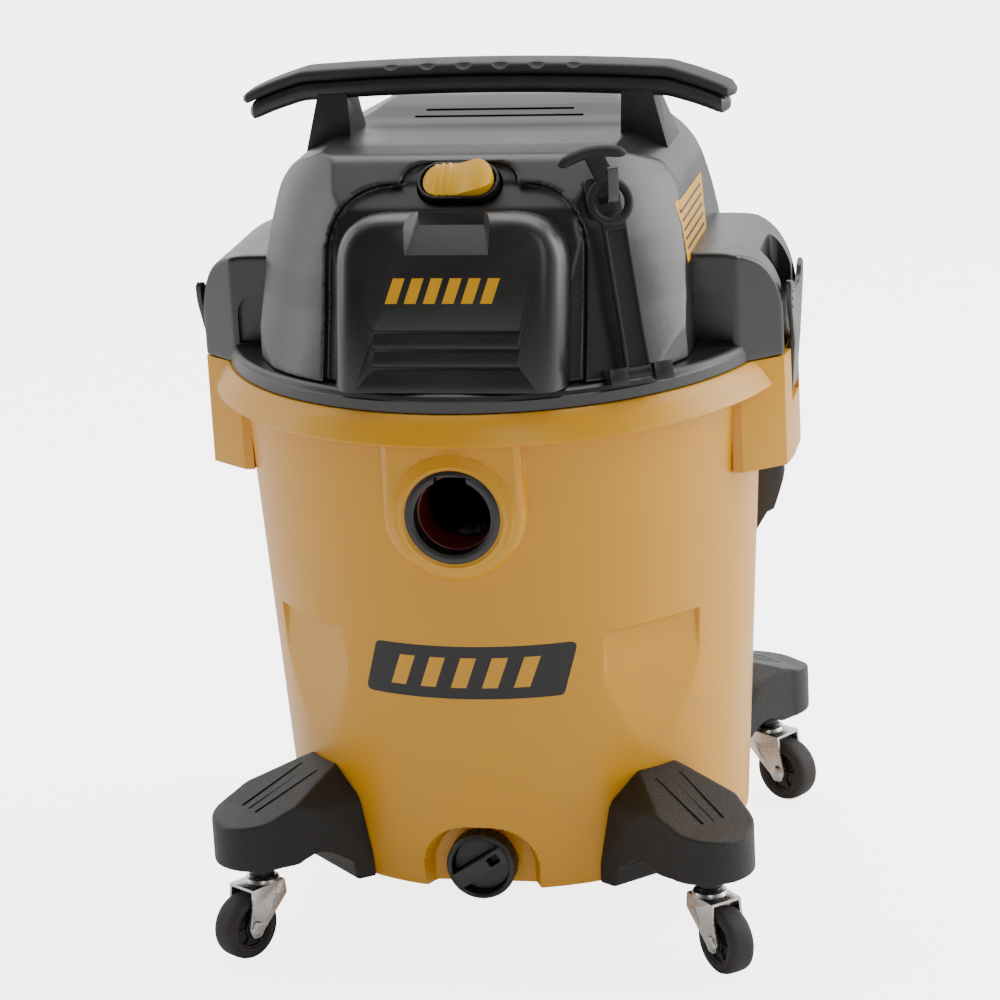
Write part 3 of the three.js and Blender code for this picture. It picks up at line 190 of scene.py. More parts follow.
def plastic(name, colour, roughness=0.5, drift=0.06, size=900.0, depth=0.2, dust=0.1, rub=0.25, rubbed=None,
            specular=0.5, coat=0.0):
    material = bpy.data.materials.new(name)
    material.use_nodes = True
    tree = material.node_tree
    surface = node(tree, "ShaderNodeGroup", node_tree=moulded)
    worn = rubbed or [min(1.0, c * 1.5 + 0.03) for c in colour]
    values = {"Colour": rgb(*colour), "Rubbed colour": rgb(*worn), "Drift": drift, "Roughness": roughness,
              "Grain size": size, "Grain depth": depth, "Dust": dust, "Rub": rub}
    for key, value in values.items():
        surface.inputs[key].default_value = value
    shader = tree.nodes["Principled BSDF"]
    for source, socket in (("Colour", "Base Color"), ("Roughness", "Roughness"), ("Normal", "Normal")):
        tree.links.new(surface.outputs[source], shader.inputs[socket])
    shader.inputs["Specular IOR Level"].default_value = specular
    shader.inputs["Coat Weight"].default_value = coat
    shader.inputs["Coat Roughness"].default_value = 0.25
    return material


# The room is a pale studio: bright behind and above, dim on the camera's side.
sky = world.node_tree
heading = node(sky, "ShaderNodeSeparateXYZ", {"Vector": node(sky, "ShaderNodeTexCoord").outputs["Generated"]})
behind = node(sky, "ShaderNodeMapRange", {"Value": heading.outputs["Y"], "From Min": -0.7, "From Max": 0.6,
                                          "To Min": 0.08, "To Max": 1.8})
sky.links.new(behind.outputs["Result"], sky.nodes["Background"].inputs["Strength"])
sky.nodes["Background"].inputs["Color"].default_value = rgb(1.0, 1.0, 1.0)

floor_paint = plastic("floor_paint", (0.93, 0.93, 0.93), 0.75, 0.02, 200.0, 0.05, 0.0, 0.0)
# the sweep is lit from below for the lens alone, so it reads white while the vacuum is lit as before
floor_glow = 4.0
lens = node(floor_paint.node_tree, "ShaderNodeLightPath").outputs["Is Camera Ray"]
glow = node(floor_paint.node_tree, "ShaderNodeMath", {0: lens, 1: floor_glow}, operation="MULTIPLY")
floor_shader = floor_paint.node_tree.nodes["Principled BSDF"]
floor_shader.inputs["Emission Color"].default_value = rgb(1.0, 1.0, 1.0)
floor_paint.node_tree.links.new(glow.outputs[0], floor_shader.inputs["Emission Strength"])
floor_mesh = bpy.data.meshes.new("floor")
wide = 9
floor_mesh.from_pydata([(-wide, -wide, 0), (wide, -wide, 0), (wide, wide, 0), (-wide, wide, 0)], [], [(0, 1, 2, 3)])
floor = bpy.data.objects.new("floor", floor_mesh)
floor.data.materials.append(floor_paint)
bpy.context.collection.objects.link(floor)


# ------------------------------------------------------------------ tank
# One yellow moulding: a tapered drum with flat panels over the legs, an arched recess at the drain,
# a raised boss round the hose inlet, and a rim that flares out and down.
mm = 0.001


# A piece is drawn in millimetres, scaled to metres as it is made, and given its finish and body.
def piece(name, mesh_builder, material, body, replaced=(), sharp=38.0):
    mesh = bpy.data.meshes.new(name)
    if isinstance(mesh_builder, bmesh.types.BMesh):
        mesh_builder.to_mesh(mesh)
        mesh_builder.free()
    else:
        mesh = mesh_builder
        mesh.name = name
    mesh.materials.clear()
    mesh.materials.append(material)
    mesh.shade_smooth()
    mesh.set_sharp_from_angle(angle=math.radians(sharp))
    made = bpy.data.objects.new(name, mesh)
    bpy.context.collection.objects.link(made)
    if body:
        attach(made, body)
    if replaced:
        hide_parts(*replaced)
    return made


def from_faces(points, faces):
    bm = bmesh.new()
    verts = [bm.verts.new(Vector(p) * mm) for p in points]
    for face in faces:
        bm.faces.new([verts[i] for i in face])
    bmesh.ops.recalc_face_normals(bm, faces=bm.faces)
    return bm


# closed profile of (radius, height) turned about Z; a radius of 0 closes on the axis
def lathe(profile, segments=96):
    points, faces, rows = [], [], []
    for r, z in profile:
        if r <= 0:
            rows.append([len(points)] * segments)
            points.append((0, 0, z))
            continue
        rows.append(list(range(len(points), len(points) + segments)))
        for i in range(segments):
            t = 2 * math.pi * i / segments
            points.append((r * math.cos(t), r * math.sin(t), z))
    closed = profile[0][0] > 0 or profile[-1][0] > 0
    pairs = list(zip(rows, rows[1:])) + ([(rows[-1], rows[0])] if closed else [])
    for a, b in pairs:
        for i in range(segments):
            j = (i + 1) % segments
            corner = [a[i], a[j], b[j], b[i]]
            unique = list(dict.fromkeys(corner))
            if len(unique) > 2:
                faces.append(unique)
    return from_faces(points, faces)


# moves an outline's edges inwards
def inset(corners, distance):
    out = []
    count = len(corners)
    for i in range(count):
        p, q, s = (Vector(corners[(i + k) % count][:2]) for k in (-1, 0, 1))
        a, b = (q - p).normalized(), (s - q).normalized()
        na, nb = Vector((-a.y, a.x)), Vector((-b.y, b.x))
        mid = na + nb
        out.append(tuple(q + mid * (2 * distance / max(mid.length_squared, 0.2))))
    return out


# an outline pushed along an axis; the outline's own plane is (x, y), (x, z) or (y, z)
def prism(outline, low, high, axis="z"):
    place = {"z": lambda a, b, c: (a, b, c), "y": lambda a, b, c: (a, c, b), "x": lambda a, b, c: (c, a, b)}[axis]
    count = len(outline)
    points = [place(a, b, low) for a, b in outline] + [place(a, b, high) for a, b in outline]
    faces = [list(range(count))[::-1], list(range(count, 2 * count))]
    faces += [[i, (i + 1) % count, count + (i + 1) % count, count + i] for i in range(count)]
    return from_faces(points, faces)


def brick(low, high):
    return prism([(low[0], low[1]), (high[0], low[1]), (high[0], high[1]), (low[0], high[1])], low[2], high[2])


def moved(bm, matrix):
    bmesh.ops.transform(bm, matrix=matrix, verts=bm.verts)
    return bm


def shift(x=0, y=0, z=0):
    return Matrix.Translation(Vector((x, y, z)) * mm)


def turn(degrees, axis="Z"):
    return Matrix.Rotation(math.radians(degrees), 4, axis)


def as_mesh(name, bm):
    mesh = bpy.data.meshes.new(name)
    bm.to_mesh(mesh)
    bm.free()
    return mesh


def scratch(bm, name="scratch"):
    made = bpy.data.objects.new(name, as_mesh(name, bm))
    bpy.context.collection.objects.link(made)
    return made


# a scratch object and its mesh, thrown away after use
def discard(made):
    old = made.data
    bpy.data.objects.remove(made)
    bpy.data.meshes.remove(old)


def evaluated_copy(made):
    bpy.context.view_layer.update()
    graph = bpy.context.evaluated_depsgraph_get()
    return bpy.data.meshes.new_from_object(made.evaluated_get(graph))


# first solid with the rest joined, cut away or kept in common: ("add" | "cut" | "keep", solid)
def combined(bm, *steps):
    base = scratch(bm)
    words = {"add": "UNION", "cut": "DIFFERENCE", "keep": "INTERSECT"}
    for action, other in steps:
        tool = scratch(other)
        change = base.modifiers.new("join", "BOOLEAN")
        change.operation = words[action]
        change.solver = "MANIFOLD"
        change.object = tool
        mesh = evaluated_copy(base)
        old = base.data
        base.modifiers.clear()
        base.data = mesh
        bpy.data.meshes.remove(old)
        discard(tool)
    out = bmesh.new()
    out.from_mesh(base.data)
    discard(base)
    return out


def beveled(bm, width, segments=3, angle=35.0):
    made = scratch(bm)
    edge = made.modifiers.new("edge", "BEVEL")
    edge.width = width * mm
    edge.segments = segments
    edge.limit_method = "ANGLE"
    edge.angle_limit = math.radians(angle)
    edge.harden_normals = False
    mesh = evaluated_copy(made)
    discard(made)
    return mesh


tank_yellow = plastic("tank_yellow", (0.74, 0.335, 0.0003), 0.36, 0.03, 1400.0, 0.05, 0.04, 0.25,
                      rubbed=(1.0, 0.66, 0.12), coat=0.12)
foot_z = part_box("tank")[0][2] / mm
rim_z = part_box("tank")[1][2] / mm
skirt_z = rim_z - 21
bottom_r, top_r = 178.0, 199.5
inlet_z = (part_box("inlet_port")[0][2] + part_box("inlet_port")[1][2]) / 2 / mm
drain_z = (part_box("drain_cap")[0][2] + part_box("drain_cap")[1][2]) / 2 / mm
leg_angles = (-135, -45, 45, 135)
flat_half, flat_rise, flat_depth = 44.5, 203, 8.5
recess_half, recess_y = 45.0, 161.2
boss_half, boss_y = 51.0, 204.0
step_r, step_out = 44, 2.2
wall = 3.5


def cone_r(z):
    return bottom_r + (top_r - bottom_r) * (z - foot_z) / (skirt_z - foot_z)


def ramp(value, low, high):
    t = max(0.0, min(1.0, (value - low) / (high - low)))
    return t * t * (3 - 2 * t)


def wall_r(theta, z, in_by):
    r = cone_r(z)
    for angle in leg_angles:
        off = theta - math.radians(angle)
        off = (off + math.pi) % (2 * math.pi) - math.pi
        if abs(off) < 0.4:
            side = abs(r * math.sin(off))
            top = foot_z + flat_rise
            depth = flat_depth * max(0.0, min(1.0, (z - top + 96) / 94))
            flat = (cone_r(z) - depth) / math.cos(off)
            inside = ramp(flat_half - side, 0, 2.0) * ramp(top - z, -0.5, 2.2)
            r = r + (min(flat, r) - r) * inside
    x = r * math.cos(theta)
    if math.sin(theta) < 0:
        height = z - drain_z
        corner = recess_half * 0.8
        rise = recess_half * 0.72
        if height > rise - corner and abs(x) > recess_half - corner:
            gone = math.hypot(abs(x) - recess_half + corner, height - rise + corner) - corner
        else:
            gone = max(abs(x) - recess_half, height - rise)
        inside = ramp(-gone, 0.0, 3.0)
        r = r + (min(r, recess_y / max(0.5, -math.sin(theta))) - r) * inside
        below = z - inlet_z
        gone = (math.hypot(x, below) if below < 0 else abs(x)) - boss_half
        if gone < 0.6:
            face = boss_y - max(0.0, 6.0 + min(gone, 0.0)) * 0.9
            face -= 0.4 * ramp(gone, -1, 0.6)
            lift = face / max(0.5, -math.sin(theta))
            r = r + (max(r, lift) - r) * ramp(-gone, -0.6, 0.6)
            ring_gone = math.hypot(x, below)
            if ring_gone < step_r:
                r += step_out * ramp(step_r - ring_gone, 0, 3)
    return r - in_by


def steps_between(stops, coarse, fine):
    out = [stops[0][0]]
    for low, high, dense in stops:
        count = max(1, round((high - low) / (fine if dense else coarse)))
        out += [low + (high - low) * (k + 1) / count for k in range(count)]
    return out


def drum():
    degrees = steps_between([(-180, -149, False), (-149, -121, True), (-121, -107, True), (-107, -73, True),
                             (-73, -59, True), (-59, -31, True), (-31, 31, False), (31, 59, True),
                             (59, 121, False), (121, 149, True), (149, 180, False)], 2.5, 0.5)[:-1]
    heights = steps_between([(foot_z + 4, drain_z + 36, True), (drain_z + 36, foot_z + 104, False),
                             (foot_z + 104, foot_z + flat_rise - 3, False),
                             (foot_z + flat_rise - 3, foot_z + flat_rise + 4, True),
                             (foot_z + flat_rise + 4, inlet_z - 54, False), (inlet_z - 54, inlet_z, True),
                             (inlet_z, rim_z - 1, False)], 6.0, 1.4)
    points, faces = [], []
    around = [math.radians(a) for a in degrees]
    count = len(around)
    rows = []

    def row(z, in_by, pull=0.0):
        rows.append(range(len(points), len(points) + count))
        for t in around:
            r = wall_r(t, max(z, foot_z + 4), in_by) - pull
            points.append((r * math.cos(t), r * math.sin(t), z))

    row(foot_z + 4, 16, 0)
    row(foot_z, 16, 0)
    row(foot_z, 4.5, 0)
    row(foot_z + 1.2, 1.4, 0)
    for z in heights:
        row(z, 0)
    for z in reversed(heights[3:]):
        row(z, wall)
    for first, second in zip(rows, rows[1:]):
        faces += [[first[i], first[(i + 1) % count], second[(i + 1) % count], second[i]] for i in range(count)]
    faces.append(list(rows[0])[::-1])
    faces.append(list(rows[-1]))
    return from_faces(points, faces)


rim_r = top_r + 12
skirt_r = rim_r + 9.5
rim = lathe([(top_r - 3.4, rim_z - 3), (rim_r - 6, rim_z - 3), (skirt_r - 3.2, skirt_z),
             (skirt_r - 1.6, skirt_z - 0.5), (skirt_r, skirt_z + 0.8),
             (rim_r + 4.2, rim_z - 8), (rim_r + 0.4, rim_z - 1.2), (rim_r - 1.2, rim_z),
             (top_r - 3.4, rim_z)], 192)
tube_hole = moved(lathe([(0, 0), (33, 0), (33, 90), (0, 90)], 64), shift(0, -130, inlet_z) @ turn(90, "X"))
drain_hole = moved(lathe([(0, 0), (12, 0), (12, 70), (0, 70)], 48), shift(0, -120, drain_z) @ turn(90, "X"))
tank_wall = combined(drum(), ("cut", tube_hole), ("cut", drain_hole))
tank_piece = piece("tank_wall", tank_wall, tank_yellow, "tank_body", ["tank"], 32)
piece("tank_rim", rim, tank_yellow, "tank_body", (), 30)

# The two ears under the latches: hollow from above, with slanted faces to the front and back.
ear_x = 226.5
ear_z = rim_z - 85
latch_x, latch_z = ear_x - 5, rim_z - 33


def ear_plan(inner_x, by=0.0):
    return inset([(inner_x, -66), (ear_x - 33, -66), (ear_x - 2.5, -43), (ear_x, -21), (ear_x, 21), (ear_x - 2.5, 43),
                  (ear_x - 33, 66), (inner_x, 66)], by)


for side, degrees in (("right", 0), ("left", 180)):
    shell = prism(ear_plan(186), ear_z, rim_z - 0.2)
    inner = prism(ear_plan(186, 3), ear_z + 3, rim_z + 4)
    keep = brick((ear_x - 15, -25, ear_z), (ear_x + 9, 25, rim_z + 2))
    slot_cut = brick((latch_x - 6, -21.3, latch_z - 9), (ear_x + 9, 21.3, rim_z + 2))
    inner = combined(inner, ("cut", keep))
    ear = combined(shell, ("cut", inner), ("cut", slot_cut))
    ear_mesh = beveled(ear, 1.6, 3, 30)
    ear_mesh.transform(turn(degrees))
    piece(f"tank_ear_{side}", ear_mesh, tank_yellow, "tank_body", (), 40)

# ------------------------------------------------------------------ hose inlet
# A black moulded plastic socket that takes the hose, pressed through the boss in the tank's wall, with a
# notch at the top of its mouth. A yellow collar rings it, and a dark red liner shows inside.
black = plastic("black_plastic", (0.0110, 0.0102, 0.0096), 0.38, 0.10, 1100.0, 0.16, 0.04, 0.30, specular=0.65)
port_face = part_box("inlet_port")[0][1] / mm
port = lathe([(28.5, 0), (29.6, -0.9), (33.6, -0.9), (35.5, 0.6), (35.5, 3.7), (31.5, 3.7), (31.5, 50),
              (28.5, 50)], 96)
moved(port, shift(0, port_face + 0.9, inlet_z) @ turn(-90, "X"))
notch = brick((-12, port_face - 2, inlet_z + 24), (12, port_face + 12, inlet_z + 31.2))
port_mesh = beveled(combined(port, ("cut", notch)), 0.5, 2, 50)
piece("hose_socket", port_mesh, black, "tank_body", ["inlet_port"], 40)
collar = lathe([(36.0, 5), (36.4, -3.2), (38.2, -4.2), (46.5, -1.4), (47.2, 3), (36.0, 5)][:-1], 96)
moved(collar, shift(0, -203.0, inlet_z) @ turn(-90, "X"))
piece("inlet_collar", collar, tank_yellow, "tank_body", (), 45)
liner_red = plastic("liner_red", (0.16, 0.012, 0.008), 0.4, 0.1, 600.0, 0.1)
liner = lathe([(28.4, 14), (27.6, 14.4), (27.6, 44), (28.4, 44)], 72)
moved(liner, shift(0, port_face, inlet_z) @ turn(-90, "X"))
piece("inlet_liner", liner, liner_red, "tank_body", ())

# ------------------------------------------------------------------ drain cap
# A black moulded screw cap low on the front, with a shallow well and fluted sides. A thick grip bar is
# moulded aslant across it, open near its upper end.

# rounds each corner of an outline; a corner is (x, y) or (x, y, radius)
def fillet(corners, radius=0.0, steps=6):
    out = []
    count = len(corners)
    for i, corner in enumerate(corners):
        p = Vector(corner[:2])
        r = corner[2] if len(corner) > 2 else radius
        a = Vector(corners[i - 1][:2]) - p
        b = Vector(corners[(i + 1) % count][:2]) - p
        half = a.angle(b) / 2 if a.length and b.length else 0
        if r <= 0 or half < 0.05 or half > 1.56:
            out.append(tuple(p))
            continue
        reach = min(r / math.tan(half), 0.49 * a.length, 0.49 * b.length)
        start, end = p + a.normalized() * reach, p + b.normalized() * reach
        for k in range(steps + 1):
            t = k / steps
            out.append(tuple((1 - t) ** 2 * start + 2 * t * (1 - t) * p + t ** 2 * end))
    return out


cap_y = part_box("drain_cap")[1][1] / mm - 8
seat = 2.8
cap = lathe([(0, -8), (10.6, -8), (11.5, -7), (11.5, seat), (25.2, seat), (26.5, seat + 1.2), (26.5, seat + 12.5),
             (25.6, seat + 14.8), (23.8, seat + 16), (22.2, seat + 15), (20.6, seat + 6), (0, seat + 5)], 96)
bar = prism(fillet([(-25, -6.2), (25, -6.2), (25, 6.2), (-25, 6.2)], 4.5), seat + 3, seat + 18.6)
arch_round = lathe([(0, -1), (25.6, -1), (25.6, seat + 12), (22, seat + 17.4), (0, seat + 18.8)], 96)
window = prism(fillet([(8, -3.6), (17.5, -3.6), (17.5, 3.6), (8, 3.6)], 1.5), seat + 8, seat + 30)
cap = combined(cap, ("add", combined(bar, ("keep", arch_round))), ("cut", window))
for k in range(24):
    flute = moved(prism(fillet([(-1.1, -1.1), (1.1, -1.1), (1.1, 1.1), (-1.1, 1.1)], 1.0, 3), seat + 2.5, seat + 13),
                  turn(15 * k) @ shift(27.1))
    cap = combined(cap, ("cut", flute))
cap_mesh = beveled(cap, 0.5, 2, 40)
cap_mesh.transform(shift(0, cap_y, drain_z) @ turn(90, "X") @ turn(33))
piece("drain_knob", cap_mesh, black, "drain", ["drain_cap"], 40)

# ------------------------------------------------------------------ tool bin
# A black moulded plastic caddy that wraps round the back of the tank and is fixed to its wall. It is open
# on top, divided by thin walls into pockets for the tools, and tapers in below.
bin_low, bin_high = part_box("tool_bin")
bin_top = bin_high[2] / mm
bin_z = bin_low[2] / mm
bin_reach = cone_r(bin_top) + 35


def bin_shell(by, start_z):
    body = lathe([(158, bin_z + by), (cone_r(bin_z) + 6 - by, bin_z + by), (bin_reach - 18 - by, bin_z + 32),
                  (bin_reach - 13 - by, bin_z + 35), (bin_reach - by, bin_z + 77), (bin_reach - by, bin_top + by),
                  (158, bin_top + by)], 192)
    half = bin_reach - 24 - by
    low = bin_reach - 133 + by
    back = bin_reach - 15 - by
    edge = fillet([(-half, low, 6), (half, low, 6), (half - 60, back, 30), (60 - half, back, 30)], 0)
    return combined(body, ("keep", prism(edge, bin_z - 1, bin_top + 3)))


def drum_solid(clear):
    return lathe([(0, foot_z - 5), (cone_r(foot_z) + clear, foot_z - 5), (cone_r(rim_z) + clear, rim_z),
                  (0, rim_z)], 192)


pockets = combined(bin_shell(3, bin_z), ("cut", drum_solid(3.3)))
for angle in (57, 90, 123):
    pockets = combined(pockets, ("cut", moved(brick((150, -1.5, 0), (260, 1.5, bin_top + 9)), turn(angle))))
bin_solid = combined(bin_shell(0, bin_z), ("cut", drum_solid(0.4)), ("cut", pockets))
piece("tool_caddy", beveled(bin_solid, 0.8, 2, 40), black, "tank_body", ["tool_bin"], 35)

# ------------------------------------------------------------------ legs
# Four black plastic mouldings fixed to the flat panels of the tank, hollow below, with a boss that holds
# the caster's stem. Each is thick at the tank and round at the end, with three grooves down its top.
def leg_material():
    material = plastic("leg_plastic", (0.0125, 0.0116, 0.0108), 0.44, 0.08, 700.0, 0.3, 0.05, 0.30, specular=0.4)
    tree = material.node_tree
    surface = next(n for n in tree.nodes if n.type == "GROUP")
    where = node(tree, "ShaderNodeTexCoord").outputs["Object"]
    cells = node(tree, "ShaderNodeTexVoronoi", {"Vector": where, "Scale": 420.0}, feature="DISTANCE_TO_EDGE")
    crease = node(tree, "ShaderNodeMapRange", {"Value": cells.outputs["Distance"], "From Max": 0.12})
    bump = node(tree, "ShaderNodeBump", {"Strength": 0.35, "Distance": 0.0005,
                                         "Height": crease.outputs["Result"],
                                         "Normal": surface.outputs["Normal"]})
    tree.links.new(bump.outputs["Normal"], tree.nodes["Principled BSDF"].inputs["Normal"])
    return material


leg_paint = leg_material()
boss_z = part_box("stem_front_left")[1][2] / mm - 28
leg_rim = boss_z + 9
reach = 244.7
root_x, root_half, nose_r = 164, 50, 35
groove_half, groove_pitch = 1.5, 11


def leg_body():
    nose = [(reach + nose_r * math.cos(t), nose_r * math.sin(t))
            for t in (math.pi * (k / 24 - 0.5) for k in range(25))]
    plan = [(root_x, -root_half)] + nose + [(root_x, root_half)]
    crown = [(root_x, foot_z), (187, foot_z, 3), (188, leg_rim - 7, 8), (reach - 32, leg_rim + 9, 20),
             (reach - 12, leg_rim, 8), (reach + 36, leg_rim), (reach + 36, leg_rim + 34, 8),
             (reach + 10, leg_rim + 39, 40), (194, leg_rim + 61, 24), (178, leg_rim + 66, 10), (root_x, leg_rim + 66)]
    draft = fillet([(-51, foot_z), (51, foot_z), (41, leg_rim + 43, 18), (15, leg_rim + 67, 24),
                    (-15, leg_rim + 67, 24), (-41, leg_rim + 43, 18)], 0, 8)
    body = combined(prism(plan, foot_z - 1, leg_rim + 70), ("keep", prism(fillet(crown), -80, 80, "y")),
                    ("keep", prism(draft, 150, 300, "x")))
    hollow = combined(prism(inset(plan, 3.2), foot_z - 3, leg_rim + 30),
                      ("keep", prism([(190, foot_z - 4), (286, foot_z - 4), (286, leg_rim + 29),
                                      (190, leg_rim + 42)], -80, 80, "y")))
    boss = lathe([(0, boss_z), (12, boss_z), (13, leg_rim + 33), (0, leg_rim + 33)], 48)
    return body, hollow, moved(boss, shift(reach))


# every edge of a moulding rounded alike: remeshed at a small voxel, then relaxed
def softened(bm, voxel=1.6, relax=8, keep=0.35):
    made = scratch(bm)
    grid = made.modifiers.new("grid", "REMESH")
    grid.mode = "VOXEL"
    grid.voxel_size = voxel * mm
    calm = made.modifiers.new("calm", "SMOOTH")
    calm.factor = 0.5
    calm.iterations = relax
    if keep < 1:
        fewer = made.modifiers.new("fewer", "DECIMATE")
        fewer.ratio = keep
    mesh = evaluated_copy(made)
    discard(made)
    out = bmesh.new()
    out.from_mesh(mesh)
    bpy.data.meshes.remove(mesh)
    return out


def leg_mesh():
    body, hollow, boss = leg_body()
    soft = softened(body, 1.1, 8, 0.5)
    solid = combined(soft, ("cut", drum_solid(0.5)), ("cut", hollow), ("add", boss))
    for lateral in (-groove_pitch, 0, groove_pitch):
        spread = lateral / groove_pitch
        line = fillet([(196, lateral - groove_half), (252, lateral * 0.86 - groove_half),
                       (252, lateral * 0.86 + groove_half), (196, lateral + groove_half)], 1.4, 4)
        groove = prism(line, -1.4, 40)
        slope = math.atan2(24.0, 64.0)
        shear = Matrix(((1, 0, 0, 0), (0, 1, 0, 0), (-math.tan(slope), 0, 1, 0), (0, 0, 0, 1)))
        lift = leg_rim + 62.5 + math.tan(slope) * 194 - 0.7 * abs(spread)
        moved(groove, shift(0, 0, lift) @ shear)
        solid = combined(solid, ("cut", groove))
    return as_mesh("leg", solid)


one_leg = leg_mesh()
corners = {"front_left": (-135, -123), "front_right": (-45, -48), "rear_right": (45, -33), "rear_left": (135, 123)}
for corner, (angle, trailing) in corners.items():
    copy = one_leg.copy()
    copy.transform(turn(angle))
    piece(f"leg_moulding_{corner}", copy, leg_paint, "tank_body", [f"leg_{corner}"], 40)

# ------------------------------------------------------------------ swivel casters
# Pressed steel forks, zinc plated, on black grip-neck stems that push up into the legs. Each carries a
# rubber tyre on a black moulded hub, on a riveted steel axle.

# plated or bare metal: brushing along one direction, small stains, handling marks
def metal(name, colour, roughness=0.3, brush=(40.0, 900.0, 900.0), depth=0.1, stain=0.2):
    material = bpy.data.materials.new(name)
    material.use_nodes = True
    tree = material.node_tree
    where = node(tree, "ShaderNodeTexCoord").outputs["Object"]
    along = node(tree, "ShaderNodeMapping", {"Vector": where, "Scale": brush})
    lines = node(tree, "ShaderNodeTexNoise", {"Vector": along.outputs["Vector"], "Scale": 1.0, "Detail": 4.0})
    cloud = node(tree, "ShaderNodeTexNoise", {"Vector": where, "Scale": 130.0, "Detail": 6.0, "Roughness": 0.7})
    spots = node(tree, "ShaderNodeMapRange", {"Value": cloud.outputs["Fac"], "From Min": 0.52, "From Max": 0.7,
                                              "To Max": stain})
    dark = [c * 0.45 for c in colour]
    tint = node(tree, "ShaderNodeMix", {"Factor": spots.outputs["Result"], "A": rgb(*colour), "B": rgb(*dark)},
                data_type="RGBA")
    shader = tree.nodes["Principled BSDF"]
    shader.inputs["Metallic"].default_value = 1.0
    tree.links.new(tint.outputs["Result"], shader.inputs["Base Color"])
    rough = node(tree, "ShaderNodeMapRange", {"Value": lines.outputs["Fac"], "To Min": roughness - 0.08,
                                              "To Max": roughness + 0.14})
    tree.links.new(rough.outputs["Result"], shader.inputs["Roughness"])
    bump = node(tree, "ShaderNodeBump", {"Strength": depth, "Distance": 0.0003, "Height": lines.outputs["Fac"]})
    tree.links.new(bump.outputs["Normal"], shader.inputs["Normal"])
    return material


zinc = metal("zinc_plate", (0.72, 0.71, 0.69), 0.24, (300.0, 300.0, 900.0), 0.06, 0.25)
bright_steel = metal("bright_steel", (0.66, 0.66, 0.66), 0.28, (700.0, 700.0, 700.0), 0.08, 0.2)
tyre_rubber = plastic("tyre_rubber", (0.034, 0.031, 0.031), 0.62, 0.12, 800.0, 0.2, 0.12, 0.5,
                      rubbed=(0.10, 0.095, 0.09), specular=0.35)
hub_black = plastic("hub_black", (0.010, 0.010, 0.010), 0.36, 0.08, 900.0, 0.12, 0.05, 0.2)
wheel_r = 25.4
fork_top = boss_z - 10
trail = 20.0
fork_half, fork_gap = 13.4, 11.4


def cheek(y0, y1):
    shape = fillet([(-11, fork_top), (-12.5, fork_top - 12, 4), (trail - 7, wheel_r - 3, 10),
                    (trail - 4, wheel_r - 7.4, 4), (trail + 4.5, wheel_r - 7.2, 5), (trail + 7.4, wheel_r + 1, 5),
                    (trail + 3.5, fork_top - 15, 10), (trail + 1.5, fork_top)], 0)
    return prism(shape, y0, y1, "y")


fork = combined(cheek(-fork_half, fork_half), ("cut", brick((-30, -fork_gap, 0), (60, fork_gap, fork_top - 2))),
                ("cut", moved(lathe([(0, -20), (4.3, -20), (4.3, 20), (0, 20)], 32),
                              shift(trail, 0, wheel_r) @ turn(90, "X"))))
for sign in (-1, 1):
    rib = prism(fillet([(-1.5, 0), (1.5, 0), (1.5, 15), (-1.5, 15)], 1.4), -0.9, 0.9, "y")
    moved(rib, shift(4, sign * 13.2, fork_top - 23) @ turn(-28, "Y"))
    fork = combined(fork, ("add", rib))
raceway = lathe([(0, fork_top - 1), (13.0, fork_top - 1), (13.6, fork_top + 0.4), (12.6, fork_top + 2.6),
                 (9.5, fork_top + 3.4), (0, fork_top + 3.4)], 64)
fork = combined(fork, ("add", raceway))
fork_mesh = beveled(fork, 0.45, 2, 35)
tread = lathe([(16.9, -9.4), (17.6, -9.9), (20.6, -10), (21.2, -9.7), (22.4, -9.8), (24.2, -8.4), (25.1, -6.2),
               (25.4, -3.4), (25.4, 3.4), (25.1, 6.2), (24.2, 8.4), (22.4, 9.8), (21.2, 9.7), (20.6, 10), (17.6, 9.9),
               (16.9, 9.4)], 96)
tyre_mesh = as_mesh("tyre", moved(tread, shift(trail, 0, wheel_r) @ turn(90, "X")))
hub_body = lathe([(4.6, -10.4), (7.4, -10.4), (7.9, -9.9), (7.9, -6.8), (14.2, -6.4), (15.2, -8.8), (16.5, -9.0),
                  (16.6, -8.4), (16.6, 8.4), (16.5, 9.0), (15.2, 8.8), (14.2, 6.4), (7.9, 6.8), (7.9, 9.9),
                  (7.4, 10.4), (4.6, 10.4)], 72)
for k in range(6):
    spoke = moved(brick((7.2, -0.9, -8.4), (15.6, 0.9, 8.4)), turn(60 * k))
    hub_body = combined(hub_body, ("add", spoke))
moved(hub_body, shift(trail, 0, wheel_r) @ turn(90, "X"))
hub_mesh = beveled(hub_body, 0.3, 2, 40)
axle = lathe([(0, -15.4), (3.2, -15.3), (4.6, -14.9), (5.8, -14.2), (6.0, -13.7), (4, -13.7), (4, 13.7), (6.0, 13.7),
              (5.8, 14.2), (4.6, 14.9), (3.2, 15.3), (0, 15.4)], 48)
moved(axle, shift(trail, 0, wheel_r) @ turn(90, "X"))
axle_mesh = as_mesh("axle", axle)
stem_low = fork_top + 3.6
stem = lathe([(0, stem_low), (9.4, stem_low), (9.9, stem_low + 0.6), (9.2, stem_low + 1.8), (8.4, stem_low + 2.1),
              (8.4, boss_z - 1.8), (9.8, boss_z - 1.2), (9.8, boss_z - 0.4), (5.5, boss_z - 0.4), (5.5, boss_z + 26),
              (4.5, boss_z + 27.6), (0, boss_z + 27.6)], 48)
stem_mesh = as_mesh("stem", stem)
